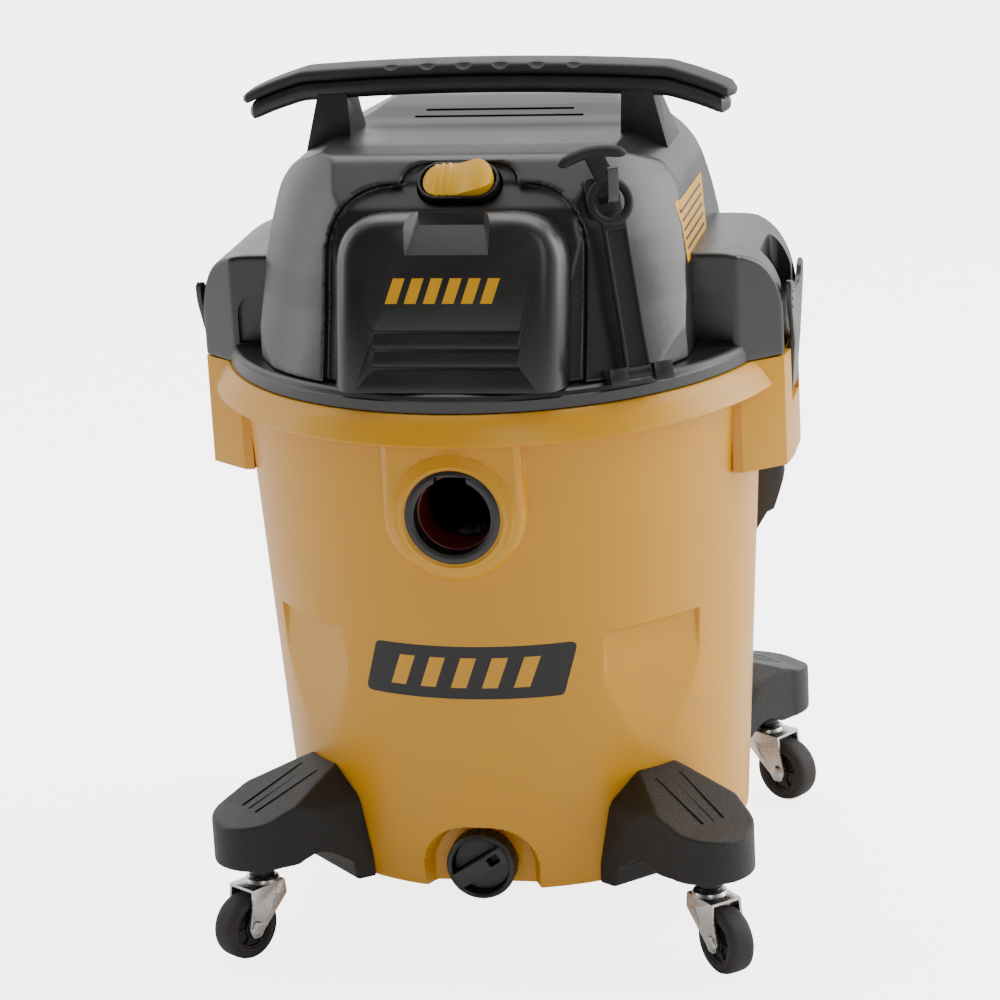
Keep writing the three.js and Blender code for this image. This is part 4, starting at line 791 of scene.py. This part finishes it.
for corner, (angle, trailing) in corners.items():
    place = turn(angle) @ shift(reach) @ turn(trailing - angle)
    parts = [("fork_plates", fork_mesh, zinc, "caster", "fork", "zinc"),
             ("axle_rivet", axle_mesh, bright_steel, "caster", "axle", "steel"),
             ("grip_stem", stem_mesh, hub_black, "caster", "stem", "caster_plastic"),
             ("tread", tyre_mesh, tyre_rubber, "wheel", "tyre", "caster_tyre"),
             ("wheel_hub", hub_mesh, hub_black, "wheel", "hub", "caster_plastic")]
    for label, mesh, paint, body, cad_node, slot_name in parts:
        copy = mesh.copy()
        copy.transform(place)
        piece(f"{label}_{corner}", copy, paint, f"{body}_{corner}", [f"{cad_node}_{corner}"], 38)

# ------------------------------------------------------------------ lid base
# The black lid: a flange that sits on the tank's rim, a skirt that plugs into it, and two arched ears
# that carry on the line of the tank's ears up to the latches.
satin_black = plastic("satin_black", (0.0090, 0.0080, 0.0074), 0.32, 0.10, 1300.0, 0.10, 0.03, 0.25, specular=0.85)
lid_z = rim_z + 0.3
deck_z = lid_z + 14.7
flange_r = rim_r - 2.8
plug_r = cone_r(rim_z - 14) - 4.1
flange = lathe([(46, deck_z - 4), (plug_r - 3, deck_z - 4), (plug_r - 3, rim_z - 14), (plug_r, rim_z - 14),
                (plug_r, lid_z), (flange_r - 0.8, lid_z), (flange_r, lid_z + 0.8), (flange_r, lid_z + 8.4),
                (flange_r - 1.0, lid_z + 9.4), (flange_r - 1.6, deck_z - 2.2), (flange_r - 3.4, deck_z - 0.6),
                (204, deck_z - 0.3), (46, deck_z - 0.3)], 192)
piece("lid_flange", flange, satin_black, "lid", ["lid_base"], 32)


def lid_ear_side(by):
    top = deck_z + 70 - by
    out = ear_x - by
    low = deck_z + 0.6 if by else lid_z
    points = [(118, low), (out, low)]
    a, b = Vector((out, lid_z + 6)), Vector((out - 1, deck_z + 46))
    c, d = Vector((out - 10, top)), Vector((out - 50, top))
    for k in range(13):
        t = k / 12
        points.append(tuple((1 - t) ** 3 * a + 3 * t * (1 - t) ** 2 * b + 3 * t * t * (1 - t) * c + t ** 3 * d))
    points.append((118, top))
    return points


def lid_ear_plan(by):
    return inset([(118, -69), (ear_x - 33, -69), (ear_x - 2.5, -43), (ear_x, -21), (ear_x, 21), (ear_x - 2.5, 43),
                  (ear_x - 33, 69), (118, 69)], by)


def ear_window(by):
    low, high, side = deck_z + 1.5 - by, deck_z + 40 + by, ear_x - 37 + by
    return fillet([(100, low), (side, low), (side, high, 20), (100, high)], 0, 10)


ear = combined(prism(lid_ear_side(0), -90, 90, "y"), ("keep", prism(lid_ear_plan(0), lid_z, deck_z + 90)))
ear_soft = softened(ear, 1.4, 12, 0.5)
ear_hollow = combined(prism(lid_ear_side(3), -90, 90, "y"), ("keep", prism(lid_ear_plan(3), lid_z, deck_z + 90)),
                      ("cut", brick((ear_x - 8, -44.5, lid_z), (ear_x + 9, 44.5, deck_z + 90))),
                      ("cut", brick((ear_x - 24, -33, deck_z + 19), (ear_x + 9, 33, deck_z + 90))),
                      ("cut", prism(ear_window(3), -90, -61, "y")))
finger_well = prism(fillet([(ear_x - 21, -30, 8), (ear_x + 9, -30), (ear_x + 9, 30), (ear_x - 21, 30, 8)], 0),
                    deck_z + 22, deck_z + 90)
ear_solid = combined(ear_soft, ("cut", ear_hollow),
                     ("cut", brick((ear_x - 5, -41.5, rim_z - 5), (ear_x + 9, 41.5, deck_z + 90))),
                     ("cut", finger_well), ("cut", prism(ear_window(0), -90, -64, "y")))
ear_made = as_mesh("ear", ear_solid)
for side, degrees in (("right", 0), ("left", 180)):
    copy = ear_made.copy()
    if degrees:
        copy.transform(Matrix.Diagonal((-1, 1, 1, 1)))
        copy.flip_normals()
    piece(f"lid_ear_{side}", copy, satin_black, "lid", (), 34)

# ------------------------------------------------------------------ motor cover
# One deep black moulding over the motor: round and upright in front, flat at the sides, chamfered at the
# switch, stepped up at the back, with an arched recess round the front panel.
cover_r = 203.0
cover_wall, recess_in = 5, 6


def dz(rise):
    return deck_z + rise


def cover_body(by, soft=True):
    low = 1.0 if by else 0.0
    round_part = lathe([(0, dz(-low)), (cover_r - by, dz(-low)), (cover_r - 16 - by, dz(48)),
                        (cover_r - 21.5 - by, dz(72)), (cover_r - 28 - by, dz(94)), (cover_r - 43 - by, dz(130)),
                        (cover_r - 62 - by, dz(158)), (cover_r - 80 - by, dz(168) - by), (0, dz(168) - by)], 160)
    side = [(-cover_r - 2, dz(-20)), (cover_r - 10, dz(-20)), (cover_r - 14, dz(20), 30), (cover_r - 26, dz(80), 60),
            (cover_r - 52, dz(136), 50), (cover_r - 92, dz(160), 40), (62, dz(166.5), 30), (45, dz(163), 16),
            (26, dz(150), 26), (-70, dz(154), 30), (-106, dz(153), 16), (-139, dz(122), 14), (-147, dz(98), 10)]
    right_side = [(162, dz(-20)), (162, dz(0)), (160, dz(68), 40), (152, dz(123), 40), (140, dz(140), 26),
                  (118, dz(150), 30), (100, dz(158), 30), (84, dz(168), 30)]
    face = right_side + [(-p[0],) + p[1:] for p in reversed(right_side)]
    plan = [(-145, -140, 22), (-80, -cover_r - 2), (80, -cover_r - 2), (145, -140, 22), (166, -100, 30),
            (166, 110, 50), (120, cover_r, 30), (-120, cover_r, 30), (-166, 110, 50), (-166, -100, 30)]
    shapes = [prism(inset(fillet(side), by), -230, 230, "x"), prism(inset(fillet(face), by), -250, 250, "y"),
              prism(inset(fillet(plan), by), dz(-low), dz(200))]
    return combined(round_part, *[("keep", shape) for shape in shapes])


def arch(half, low, high, corner):
    return fillet([(-half, low), (half, low), (half, high, corner * 1.25), (-half, high, corner * 1.25)], 0, 14)


def oval(half, radius, steps=16):
    out = []
    for side in (1, -1):
        for k in range(steps + 1):
            t = -math.pi / 2 + math.pi * k / steps
            out.append((side * (half - radius + radius * math.cos(t)), side * radius * math.sin(t)))
    return out


switch_place = shift(0, -122.5, dz(137.5)) @ turn(45, "X")
recess = combined(prism(arch(97, dz(-20), dz(136), 42), -260, -60, "y"), ("cut", cover_body(recess_in)))
tray = moved(prism(oval(43, 17), -5, 30), switch_place)
cover = combined(cover_body(0), ("cut", recess), ("cut", tray))
cover_soft = softened(cover, 1.5, 10, 0.4)
inner = combined(cover_body(cover_wall), ("cut", combined(prism(arch(101, dz(-20), dz(140), 44), -260, -60, "y"),
                                                 ("cut", cover_body(cover_wall + recess_in - 0.5)))),
                 ("cut", moved(brick((-47, -22, -10), (47, 22, 30)), switch_place)))
blower_z = (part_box("blower_port")[0][2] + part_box("blower_port")[1][2]) / 2 / mm
port_gap = moved(lathe([(0, 0), (33.4, 0), (33.4, 140), (0, 140)], 64), shift(0, 240, blower_z) @ turn(90, "X"))
well = moved(prism(oval(32.3, 17.4), -20, 30), switch_place)
cover_solid = combined(cover_soft, ("cut", inner), ("cut", port_gap), ("cut", well))
for lift, back, half in ((155.5, 32.0, 66), (159.5, 38.0, 58)):
    line = prism(fillet([(-half, -1.1), (half, -1.1), (half, 1.1), (-half, 1.1)], 1.0, 3), -3.2, 8)
    cover_solid = combined(cover_solid, ("cut", moved(line, shift(0, back, dz(lift)) @ turn(40, "X"))))
cover_piece = piece("motor_housing", cover_solid, satin_black, "lid", ["motor_cover"], 34)

# ------------------------------------------------------------------ front panel
# A separate raised panel, its face leaning back and its sides falling away to the cover in a broad curve;
# three slots are pressed in below the badge, and a tapered notch is cut in at the top.
lean = shift(0, -205, deck_z) @ turn(-16, "X")


def panel_ring(t):
    spread = 18 * math.sin(t * math.pi / 2) ** 0.9
    sink = 24 * (1 - math.cos(t * math.pi / 2))
    outline = fillet([(-68 - spread, -30), (68 + spread, -30), (68 + spread, 116 + spread * 0.9, 20 + spread * 1.2),
                      (-68 - spread, 116 + spread * 0.9, 20 + spread * 1.2)], 0, 10)
    return [(x, sink, z) for x, z in outline]


# rows of points along a path, joined into one closed skin with flat ends
def skinned(rows):
    count = len(rows[0])
    points = [p for row in rows for p in row]
    faces = [list(range(count)), [len(points) - 1 - k for k in range(count)]]
    for k in range(len(rows) - 1):
        for i in range(count):
            j = (i + 1) % count
            faces.append([k * count + i, k * count + j, (k + 1) * count + j, (k + 1) * count + i])
    return from_faces(points, faces)


def panel_solid():
    rows = [panel_ring(k / 8) for k in range(9)]
    rows.append([(x, 60, z) for x, y, z in rows[-1]])
    return moved(skinned(rows), lean)


panel = combined(panel_solid(), ("keep", brick((-120, -260, deck_z + 0.3), (120, -80, deck_z + 136))))
for slot_z in (18, 31, 44):
    line = prism(fillet([(-54, slot_z - 1.7), (54, slot_z - 1.7), (54, slot_z + 1.7), (-54, slot_z + 1.7)], 1.5, 4),
                 -4, 2.2, "y")
    panel = combined(panel, ("cut", moved(line, lean)))
wedge = from_faces([(-31, -1, 98), (31, -1, 98), (24, 18, 122), (-24, 18, 122), (-34, -1, 150), (34, -1, 150),
                    (26, 18, 150), (-26, 18, 150)],
                   [[0, 1, 2, 3], [4, 7, 6, 5], [0, 4, 5, 1], [3, 2, 6, 7], [0, 3, 7, 4], [1, 5, 6, 2]])
panel = combined(panel, ("cut", moved(wedge, lean)), ("cut", cover_body(5.7)))
panel_piece = piece("front_facing", beveled(panel, 0.7, 2, 34), satin_black, "lid", ["front_panel"],
                    30)


# A printed mark laid on a surface: flat shapes are cut into strips and dropped onto the piece along a line.
def printed(name, shapes, onto, away, frame_matrix, material, body, strip=3.0, lift=0.15):
    bm = bmesh.new()
    for outline in shapes:
        bm.faces.new([bm.verts.new(Vector((a, b, 0)) * mm) for a, b in outline])
    for axis in (0, 1):
        low = min(v.co[axis] for v in bm.verts)
        high = max(v.co[axis] for v in bm.verts)
        for k in range(1, int((high - low) / (strip * mm)) + 1):
            cut = Vector((0, 0, 0))
            cut[axis] = low + k * strip * mm
            normal = (1, 0, 0) if axis == 0 else (0, 1, 0)
            bmesh.ops.bisect_plane(bm, geom=bm.verts[:] + bm.edges[:] + bm.faces[:], plane_co=cut, plane_no=normal)
    bm.transform(frame_matrix)
    direction = Vector(away).normalized()
    for v in bm.verts:
        hit, where, normal, index = onto.ray_cast(v.co + direction * 0.2, -direction)
        v.co = (where if hit else v.co) + direction * lift * mm
    bmesh.ops.recalc_face_normals(bm, faces=bm.faces)
    for face in bm.faces:
        if face.normal.dot(direction) < 0:
            face.normal_flip()
    return piece(name, bm, material, body, (), 60)


ink_yellow = plastic("ink_yellow", (0.80, 0.38, 0.001), 0.42, 0.05, 500.0, 0.05, 0.0, 0.0)
ink_black = plastic("ink_black", (0.004, 0.004, 0.004), 0.34, 0.08, 500.0, 0.05, 0.0, 0.0)


def slanted_bars(width, height, count, share, lean_by):
    pitch = width / count
    out = []
    for k in range(count):
        x0 = -width / 2 + k * pitch
        x1 = x0 + pitch * share
        out.append([(x0, -height / 2), (x1, -height / 2), (x1 + lean_by, height / 2), (x0 + lean_by, height / 2)])
    return out


front_view = turn(90, "X")
badge = slanted_bars(84, 19, 6, 0.62, 6)
printed("panel_badge", badge, panel_piece, (0, -1, 0.28), shift(-3, -200, deck_z + 75) @ front_view, ink_yellow,
        "lid", 6.0, 0.12)
mark = [fillet([(-82, -21), (70, -21), (82, 21), (-70, 21)], 5, 5)]
band_z = 233
printed("tank_band", mark, tank_piece, (0, -1, 0), shift(0, -240, band_z) @ front_view, ink_black, "tank_body",
        2.5, 0.12)
printed("tank_band_bars", slanted_bars(118, 24, 5, 0.5, 9), tank_piece, (0, -1, 0),
        shift(-1, -240, band_z) @ front_view, tank_yellow, "tank_body", 2.5, 0.26)
label_mark = [fillet([(-60, -22), (38, -21), (60, 22), (-52, 23)], 3, 3)]
label_place = shift(200, -24, deck_z + 92) @ turn(90, "Z") @ turn(90, "X")
printed("side_label", label_mark, cover_piece, (1, 0, 0.1), label_place, ink_yellow,
        "lid", 4.0, 0.25)
rows = [[(-50, 16 - 7 * k), (46 - 3 * k, 16 - 7 * k), (46 - 3 * k, 14 - 7 * k), (-50, 14 - 7 * k)]
        for k in range(5)]
printed("side_label_rules", rows, cover_piece, (1, 0, 0.1), label_place, ink_black,
        "lid", 4.0, 0.45)

# ------------------------------------------------------------------ carry handle
# A black plastic bar on two posts that lean back and stand on the cover, drooping at its ends. A lighter
# soft grip with six scoops for the fingers is moulded over its top.
grip_grey = plastic("grip_grey", (0.026, 0.026, 0.027), 0.50, 0.08, 1000.0, 0.25, 0.06, 0.3, specular=0.4)
bar_z = deck_z + 177.0


def bar_centre(x):
    bend = max(0.0, abs(x) - 138.0)
    droop = 0.0 if bend <= 0 else 17.0 * min(1.0, bend / 50.0) ** 1.35
    return 5 * (1 - min(1.0, abs(x) / 150.0) ** 2) - droop


def bar_loft(low, high, half, corner, end_x):
    stations = [-end_x + k * end_x / 44 for k in range(89)]
    section = fillet([(-half, low), (half, low), (half, high), (-half, high)], corner, 5)
    mid = (low + high) / 2
    points, rows = [], []
    for x in stations:
        left = max(0.0, abs(x) - end_x + 7.0) / 7.0
        close = math.sqrt(max(0.0, 1 - left ** 2)) * 0.55 + 0.45
        rows.append(range(len(points), len(points) + len(section)))
        for y, z in section:
            points.append((x, y * close - 4, mid + (z - mid) * close + bar_centre(x)))
    faces = [list(rows[0])[::-1], list(rows[-1])]
    count = len(section)
    for a, b in zip(rows, rows[1:]):
        faces += [[a[i], a[(i + 1) % count], b[(i + 1) % count], b[i]] for i in range(count)]
    return from_faces(points, faces)


grip = bar_loft(bar_z + 14.6, bar_z + 23.3, 17.0, 4.2, 189.0)
for k in range(6):
    scoop = bmesh.new()
    bmesh.ops.create_uvsphere(scoop, u_segments=32, v_segments=16, radius=9 * mm)
    grip = combined(grip, ("cut", moved(scoop, shift((k - 2.5) * 28, -24.0, bar_z + 32))))
piece("grip_layer", beveled(grip, 0.5, 2, 40), grip_grey, "lid", ["handle_grip"], 36)
bar = bar_loft(bar_z - 0.2, bar_z + 14.3, 16.0, 6.0, 184.0)
for sign in (-1, 1):
    post = combined(prism([(102, dz(112)), (146, dz(112)), (128, bar_z + 6), (105, bar_z + 6)], -60, 90, "y"),
                    ("keep", prism([(-24, dz(112)), (50, dz(112)), (9, bar_z + 6), (-21, bar_z + 6)], 60, 180, "x")))
    post = moved(post, Matrix.Diagonal((sign, 1, 1, 1)))
    if sign < 0:
        bmesh.ops.reverse_faces(post, faces=post.faces)
    bar = combined(bar, ("add", post))
bar = combined(bar, ("cut", cover_body(0.6)))
piece("handle_bar", beveled(bar, 1.0, 3, 40), black, "lid", ["handle_frame"], 34)

# ------------------------------------------------------------------ switch
# A glossy yellow moulded rocker in a black oval bezel, pressed into the slope at the front of the cover.
# Its right half stands proud and its left half carries three finger ribs.
yellow_gloss = plastic("yellow_gloss", (0.86, 0.45, 0.0005), 0.26, 0.03, 900.0, 0.06, 0.02, 0.2, coat=0.3)
bezel = combined(prism(oval(30.2, 15.7, 24), -14.5, 1.8), ("cut", prism(oval(28.3, 14.0, 24), -20, 30)))
bezel_mesh = beveled(bezel, 0.6, 3, 40)
bezel_mesh.transform(switch_place)
piece("rocker_bezel", bezel_mesh, black, "lid", ["switch_bezel"], 36)
top_line = [(-26.5, 0.4), (-22, 1.6)] + [(-19 + 5.2 * k + d, 1.9 + h + 0.35 * k) for k in range(3)
                                          for d, h in ((0, 0), (0.9, 1.3), (2.3, 1.3), (3.2, 0.1))]
top_line += [(0, 3.2), (5, 5.2), (12, 8.6), (17, 9.6), (21, 9.2), (25, 6.8), (26.5, 3.6)]
rocker_side = [(-26.5, -1), (-18.5, -7), (0, -9), (18.5, -7), (26.5, -1)] + top_line[::-1]
rocker = combined(prism(rocker_side, -13.5, 13.5, "y"), ("keep", prism(oval(26.5, 13.5, 24), -20, 20)))
rocker_mesh = beveled(rocker, 0.8, 3, 30)
rocker_mesh.transform(switch_place)
piece("rocker_key", rocker_mesh, yellow_gloss, "rocker", ["switch_rocker"], 40)

# ------------------------------------------------------------------ hold-down strap
# A moulded rubber strap, pinned to a bracket on the flange and pulled up over a hook on the cover's
# shoulder. Its ring goes round the hook, and a T-shaped tab above the ring is pulled to let it go.
strap_rubber = plastic("strap_rubber", (0.010, 0.0095, 0.0092), 0.50, 0.08, 900.0, 0.18, 0.05, 0.35, specular=0.35)
strap_foot = Vector((134, -165, dz(5.5)))
strap_up = (Vector((114, -139, dz(126))) - strap_foot).normalized()
strap_out = Vector((0.5, -0.866, 0))
strap_out = (strap_out - strap_up * strap_out.dot(strap_up)).normalized()
strap_side = strap_out.cross(strap_up)
strap_place = Matrix.Translation(strap_foot * mm) @ Matrix((strap_side, strap_out, strap_up)).transposed().to_4x4()
ring_up = 124.0
ring_r = 14.5
rod_r = 3.4


def band_row(z):
    wide = 9.2 + 0.6 * math.exp(-(z / 16.0) ** 2)
    edge = [(-wide, -1.5), (wide, -1.5), (wide, 1.9), (wide - 2.2, 1.9), (wide - 2.9, 1.0), (2.9 - wide, 1.0),
            (2.2 - wide, 1.9), (-wide, 1.9)]
    return [(x, y, z) for x, y in fillet(edge, 0.8, 3)]


band = skinned([band_row(3 + 103 * k / 26) for k in range(27)])
eye = moved(lathe([(2.6, -9.2), (4.6, -9.2), (4.6, 9.2), (2.6, 9.2)], 40), turn(90, "Y"))
pin_hole = moved(lathe([(0, -14), (2.6, -14), (2.6, 14), (0, 14)], 40), turn(90, "Y"))
band = combined(band, ("add", eye), ("cut", pin_hole))
band_piece = piece("strap_strip", moved(band, strap_place), strap_rubber, None, ["strap_band"], 40)
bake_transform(band_piece)


def rod(path, radii, across):
    rows = []
    for k, p in enumerate(path):
        a, b = path[max(k - 1, 0)], path[min(k + 1, len(path) - 1)]
        along = (Vector(b) - Vector(a)).normalized()
        side = along.cross(Vector(across)).normalized()
        lift = side.cross(along)
        rows.append([tuple(Vector(p) + radii[k] * (math.cos(t) * side + math.sin(t) * lift))
                     for t in (2 * math.pi * i / 16 for i in range(16))])
    return skinned(rows)


ring = moved(lathe([(ring_r + rod_r * math.cos(t), rod_r * math.sin(t)) for t in
                    (2 * math.pi * i / 14 for i in range(14))], 64), turn(90, "X"))
moved(ring, shift(0, 0, ring_up))
tab_z = ring_up + ring_r + 21
stem = prism(fillet([(-8, ring_up + ring_r), (7.5, ring_up + ring_r), (14, tab_z), (0, tab_z)], 0), -2.6, 2.6, "y")
tab_path, tab_radii = [], []
for k in range(25):
    t = k / 24
    a, b, c = Vector((-18, 0, tab_z - 3)), Vector((8, 0, tab_z + 7)), Vector((34, 0, tab_z - 5))
    tab_path.append((1 - t) ** 2 * a + 2 * t * (1 - t) * b + t * t * c)
    tab_radii.append(4.4 * max(0.35, min(1.0, (1 - abs(2 * t - 1) ** 8) ** 0.5)))
collar = brick((-9.4, -2.2, ring_up - ring_r - 6.2), (9.4, 2.2, ring_up - ring_r + 2))
ring_hole = moved(lathe([(0, -9), (ring_r - 1, -9), (ring_r - 1, 9), (0, 9)], 48),
                  shift(0, 0, ring_up) @ turn(90, "X"))
loop = combined(ring, ("add", stem), ("add", rod(tab_path, tab_radii, (0, 1, 0))),
                ("add", combined(collar, ("cut", ring_hole))))
loop_soft = softened(loop, 0.75, 5, 0.45)
piece("strap_pull", moved(loop_soft, strap_place), strap_rubber, "strap_upper", ["strap_loop"], 50)

bracket = combined(brick((-24, -8, -17), (24, 8, 5)), ("cut", brick((-10.3, -10.5, -10.8), (10.3, 20, 20))))
bracket = combined(moved(bracket, strap_place), ("keep", brick((0, -300, deck_z + 0.2), (300, 0, deck_z + 60))),
                   ("cut", cover_body(-0.3)))
bracket_pin = moved(lathe([(0, -12), (2, -12), (2, 12), (0, 12)], 32), strap_place @ turn(90, "Y"))
piece("strap_bracket", beveled(combined(bracket, ("add", bracket_pin)), 0.6, 2, 50), satin_black, "lid",
      ["strap_anchor"], 36)

tongue = prism(fillet([(1.2, ring_up + 4.4), (1.2, ring_up - 1), (7, ring_up - 1, 2), (10.5, ring_up + 3, 4),
                       (19, ring_up + 23, 1.5), (15.5, ring_up + 24.5, 1.5),
                       (6.5, ring_up + 4.4, 3)], 0.4), -4, 4, "x")
hook = combined(brick((-4, -56, ring_up - 1), (4, 4, ring_up + 4.4)), ("add", tongue))
plate = prism(fillet([(-13, ring_up - 11), (13, ring_up - 11), (13, ring_up + 19), (-13, ring_up + 19)], 5), -72.5,
              -12.6, "y")
hook = combined(moved(combined(hook, ("add", plate)), strap_place), ("cut", cover_body(-0.25)))
piece("strap_catch", beveled(hook, 0.7, 3, 45), satin_black, "lid", ["strap_hook"], 36)

# ------------------------------------------------------------------ side latches
# A thin black plate on each side, hinged on a steel pin in the tank's ear and snapped up over the lid's
# ear; its top is scooped for the fingertips, and three small pips are moulded near its front edge.
latch_out = ear_x + 4
latch_top = latch_z + 90
round_foot = [(latch_x + 4.6 * math.cos(t), latch_z + 4.6 * math.sin(t))
              for t in (math.pi + math.pi * 0.97 * k / 12 for k in range(13))]
latch_side = round_foot + [(latch_out - 1.2, rim_z + 4, 12), (latch_out - 0.2, latch_top - 4),
                           (latch_out - 1.4, latch_top, 1),
                           (latch_out - 4.0, latch_top - 0.4, 1), (latch_out - 4.4, rim_z + 10, 12),
                           (latch_x - 3.6, latch_z + 16, 4)]
latch_face = [(-13.3, latch_z - 12, 4), (13.3, latch_z - 12, 4), (19.3, rim_z + 6, 22), (38.5, latch_top - 15, 26),
              (38.5, latch_top, 3), (26, latch_top - 3, 8), (18, latch_top - 13, 12), (-18, latch_top - 13, 12),
              (-26, latch_top - 3, 8), (-38.5, latch_top, 3), (-38.5, latch_top - 15, 26), (-19.3, rim_z + 6, 22)]
latch = combined(prism(fillet(latch_side, 0), -60, 60, "y"),
                 ("keep", prism(fillet(latch_face, 0), latch_x - 20, latch_out + 6, "x")),
                 ("cut", moved(lathe([(0, -60), (2.5, -60), (2.5, 60), (0, 60)], 32),
                               shift(latch_x, 0, latch_z) @ turn(90, "X"))))
for k in range(3):
    pip = lathe([(0, -1.2), (1.5, -1.2), (1.5, 0.1), (1.0, 0.55), (0, 0.7)], 20)
    latch = combined(latch, ("add", moved(pip, shift(latch_out - 0.25, -31, latch_top - 10 - 6 * k) @ turn(90, "Y"))))
latch_mesh = beveled(latch, 0.6, 2, 50)
for name, body, mirror in (("right", "latch_r", False), ("left", "latch_l", True)):
    copy = latch_mesh.copy()
    if mirror:
        copy.transform(Matrix.Diagonal((-1, 1, 1, 1)))
        copy.flip_normals()
    piece(f"latch_plate_{name}", copy, satin_black, body, [f"latch_{name}"], 36)

# ------------------------------------------------------------------ blower port and cord gland
# A black moulded outlet at the back of the cover takes the hose for blowing, with four short ribs on its
# mouth. A ribbed rubber boot, for the mains lead, is fixed beside it.
outlet = lathe([(28.5, 139), (33, 139), (33, 161), (39, 161), (39, 188), (37.6, 190.4), (33.6, 191), (33.6, 199.6),
                (32.4, 201), (29.6, 201), (28.5, 199.8)], 96)
outlet_place = shift(0, 0, blower_z) @ turn(-90, "X")
collar_cut = combined(cover_body(-0.3), ("cut", moved(lathe([(0, 0), (33.3, 0), (33.3, 260), (0, 260)], 64),
                                                      outlet_place)))
outlet = combined(moved(outlet, outlet_place), ("cut", collar_cut))
for k in range(4):
    rib = moved(brick((-2, 33, 190.5), (2, 37.4, 197)), turn(90 * k + 45))
    outlet = combined(outlet, ("add", moved(rib, outlet_place)))
piece("blower_outlet", beveled(outlet, 0.5, 2, 50), black, "lid", ["blower_port"], 38)
gland_profile = [(0, 0), (11, 0), (11, 5.2), (10.2, 6)]
for k in range(4):
    z0 = 7.2 + 3.6 * k
    wide = 9.2 - 0.75 * k
    gland_profile += [(wide - 1.6, z0 - 0.6), (wide - 1.6, z0), (wide, z0 + 0.4), (wide - 0.3, z0 + 2.2)]
gland_profile += [(4.2, 22), (4.2, 12), (0, 12)]
gland_place = shift(-92, cover_r - 42, dz(30)) @ turn(-90, "X")
gland = combined(moved(lathe(gland_profile, 48), gland_place), ("cut", cover_body(-0.3)))
piece("cord_boot", gland, strap_rubber, "lid", ["cord_gland"], 40)

# ------------------------------------------------------------------ inside the tank and the lid
# The parts that show when the lid is off or the port is looked into keep their own shapes and get the
# finish of what they are: pleated paper with painted shade in its folds, float foam, moulded caps, copper windings
# and a spun fan.
copper = metal("copper_wire", (0.80, 0.36, 0.16), 0.34, (900.0, 900.0, 120.0), 0.35, 0.3)
fan_metal = metal("fan_metal", (0.62, 0.63, 0.64), 0.36, (200.0, 200.0, 700.0), 0.10, 0.15)
seal_rubber = plastic("seal_rubber", (0.018, 0.018, 0.019), 0.66, 0.08, 800.0, 0.2, 0.0, 0.1)
float_white = plastic("float_white", (0.72, 0.71, 0.66), 0.45, 0.05, 500.0, 0.1, 0.0, 0.1)
shroud_grey = plastic("shroud_grey", (0.10, 0.10, 0.105), 0.5, 0.06, 700.0, 0.2, 0.0, 0.2)


def pleated_paper():
    material = bpy.data.materials.new("filter_paper")
    material.use_nodes = True
    tree = material.node_tree
    where = node(tree, "ShaderNodeTexCoord").outputs["Object"]
    parts = node(tree, "ShaderNodeSeparateXYZ", {"Vector": where})
    angle = node(tree, "ShaderNodeMath", {0: parts.outputs["Y"], 1: parts.outputs["X"]}, operation="ARCTAN2")
    folds = node(tree, "ShaderNodeMath", {0: angle.outputs[0], 1: 64.0}, operation="MULTIPLY")
    wave = node(tree, "ShaderNodeMath", {0: folds.outputs[0]}, operation="SINE")
    fibre = node(tree, "ShaderNodeTexNoise", {"Vector": where, "Scale": 1500.0, "Detail": 4.0})
    height = node(tree, "ShaderNodeMath", {0: fibre.outputs["Fac"], 1: 0.35, 2: wave.outputs[0]},
                  operation="MULTIPLY_ADD")
    # painted light and shade of the pleats: the paper is coloured pale on each fold's crest and dark in its trough
    shade = node(tree, "ShaderNodeMapRange", {"Value": wave.outputs[0], "From Min": -1.0, "From Max": 1.0})
    tint = node(tree, "ShaderNodeMix", {"Factor": shade.outputs["Result"], "A": rgb(0.30, 0.27, 0.21),
                                        "B": rgb(0.74, 0.71, 0.62)}, data_type="RGBA")
    shader = tree.nodes["Principled BSDF"]
    tree.links.new(tint.outputs["Result"], shader.inputs["Base Color"])
    shader.inputs["Roughness"].default_value = 0.85
    bump = node(tree, "ShaderNodeBump", {"Strength": 0.6, "Distance": 0.002, "Height": height.outputs[0]})
    tree.links.new(bump.outputs["Normal"], shader.inputs["Normal"])
    return material


finishes = {
    "inlet_elbow": black, "drain_seal": seal_rubber, "lid_gasket": seal_rubber, "motor_seat": shroud_grey,
    "fan_shroud": fan_metal, "stator": zinc, "armature": copper, "impeller": fan_metal, "filter_cage": black,
    "float_ball": float_white, "filter_media": pleated_paper(), "filter_cap_top": seal_rubber,
    "filter_cap_bottom": seal_rubber, "switch_body": black, "latch_pin_right": bright_steel,
    "latch_pin_left": bright_steel,
}
for name, finish in finishes.items():
    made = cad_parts[name]
    for holder in made.material_slots:
        holder.link = "OBJECT"
        holder.material = finish
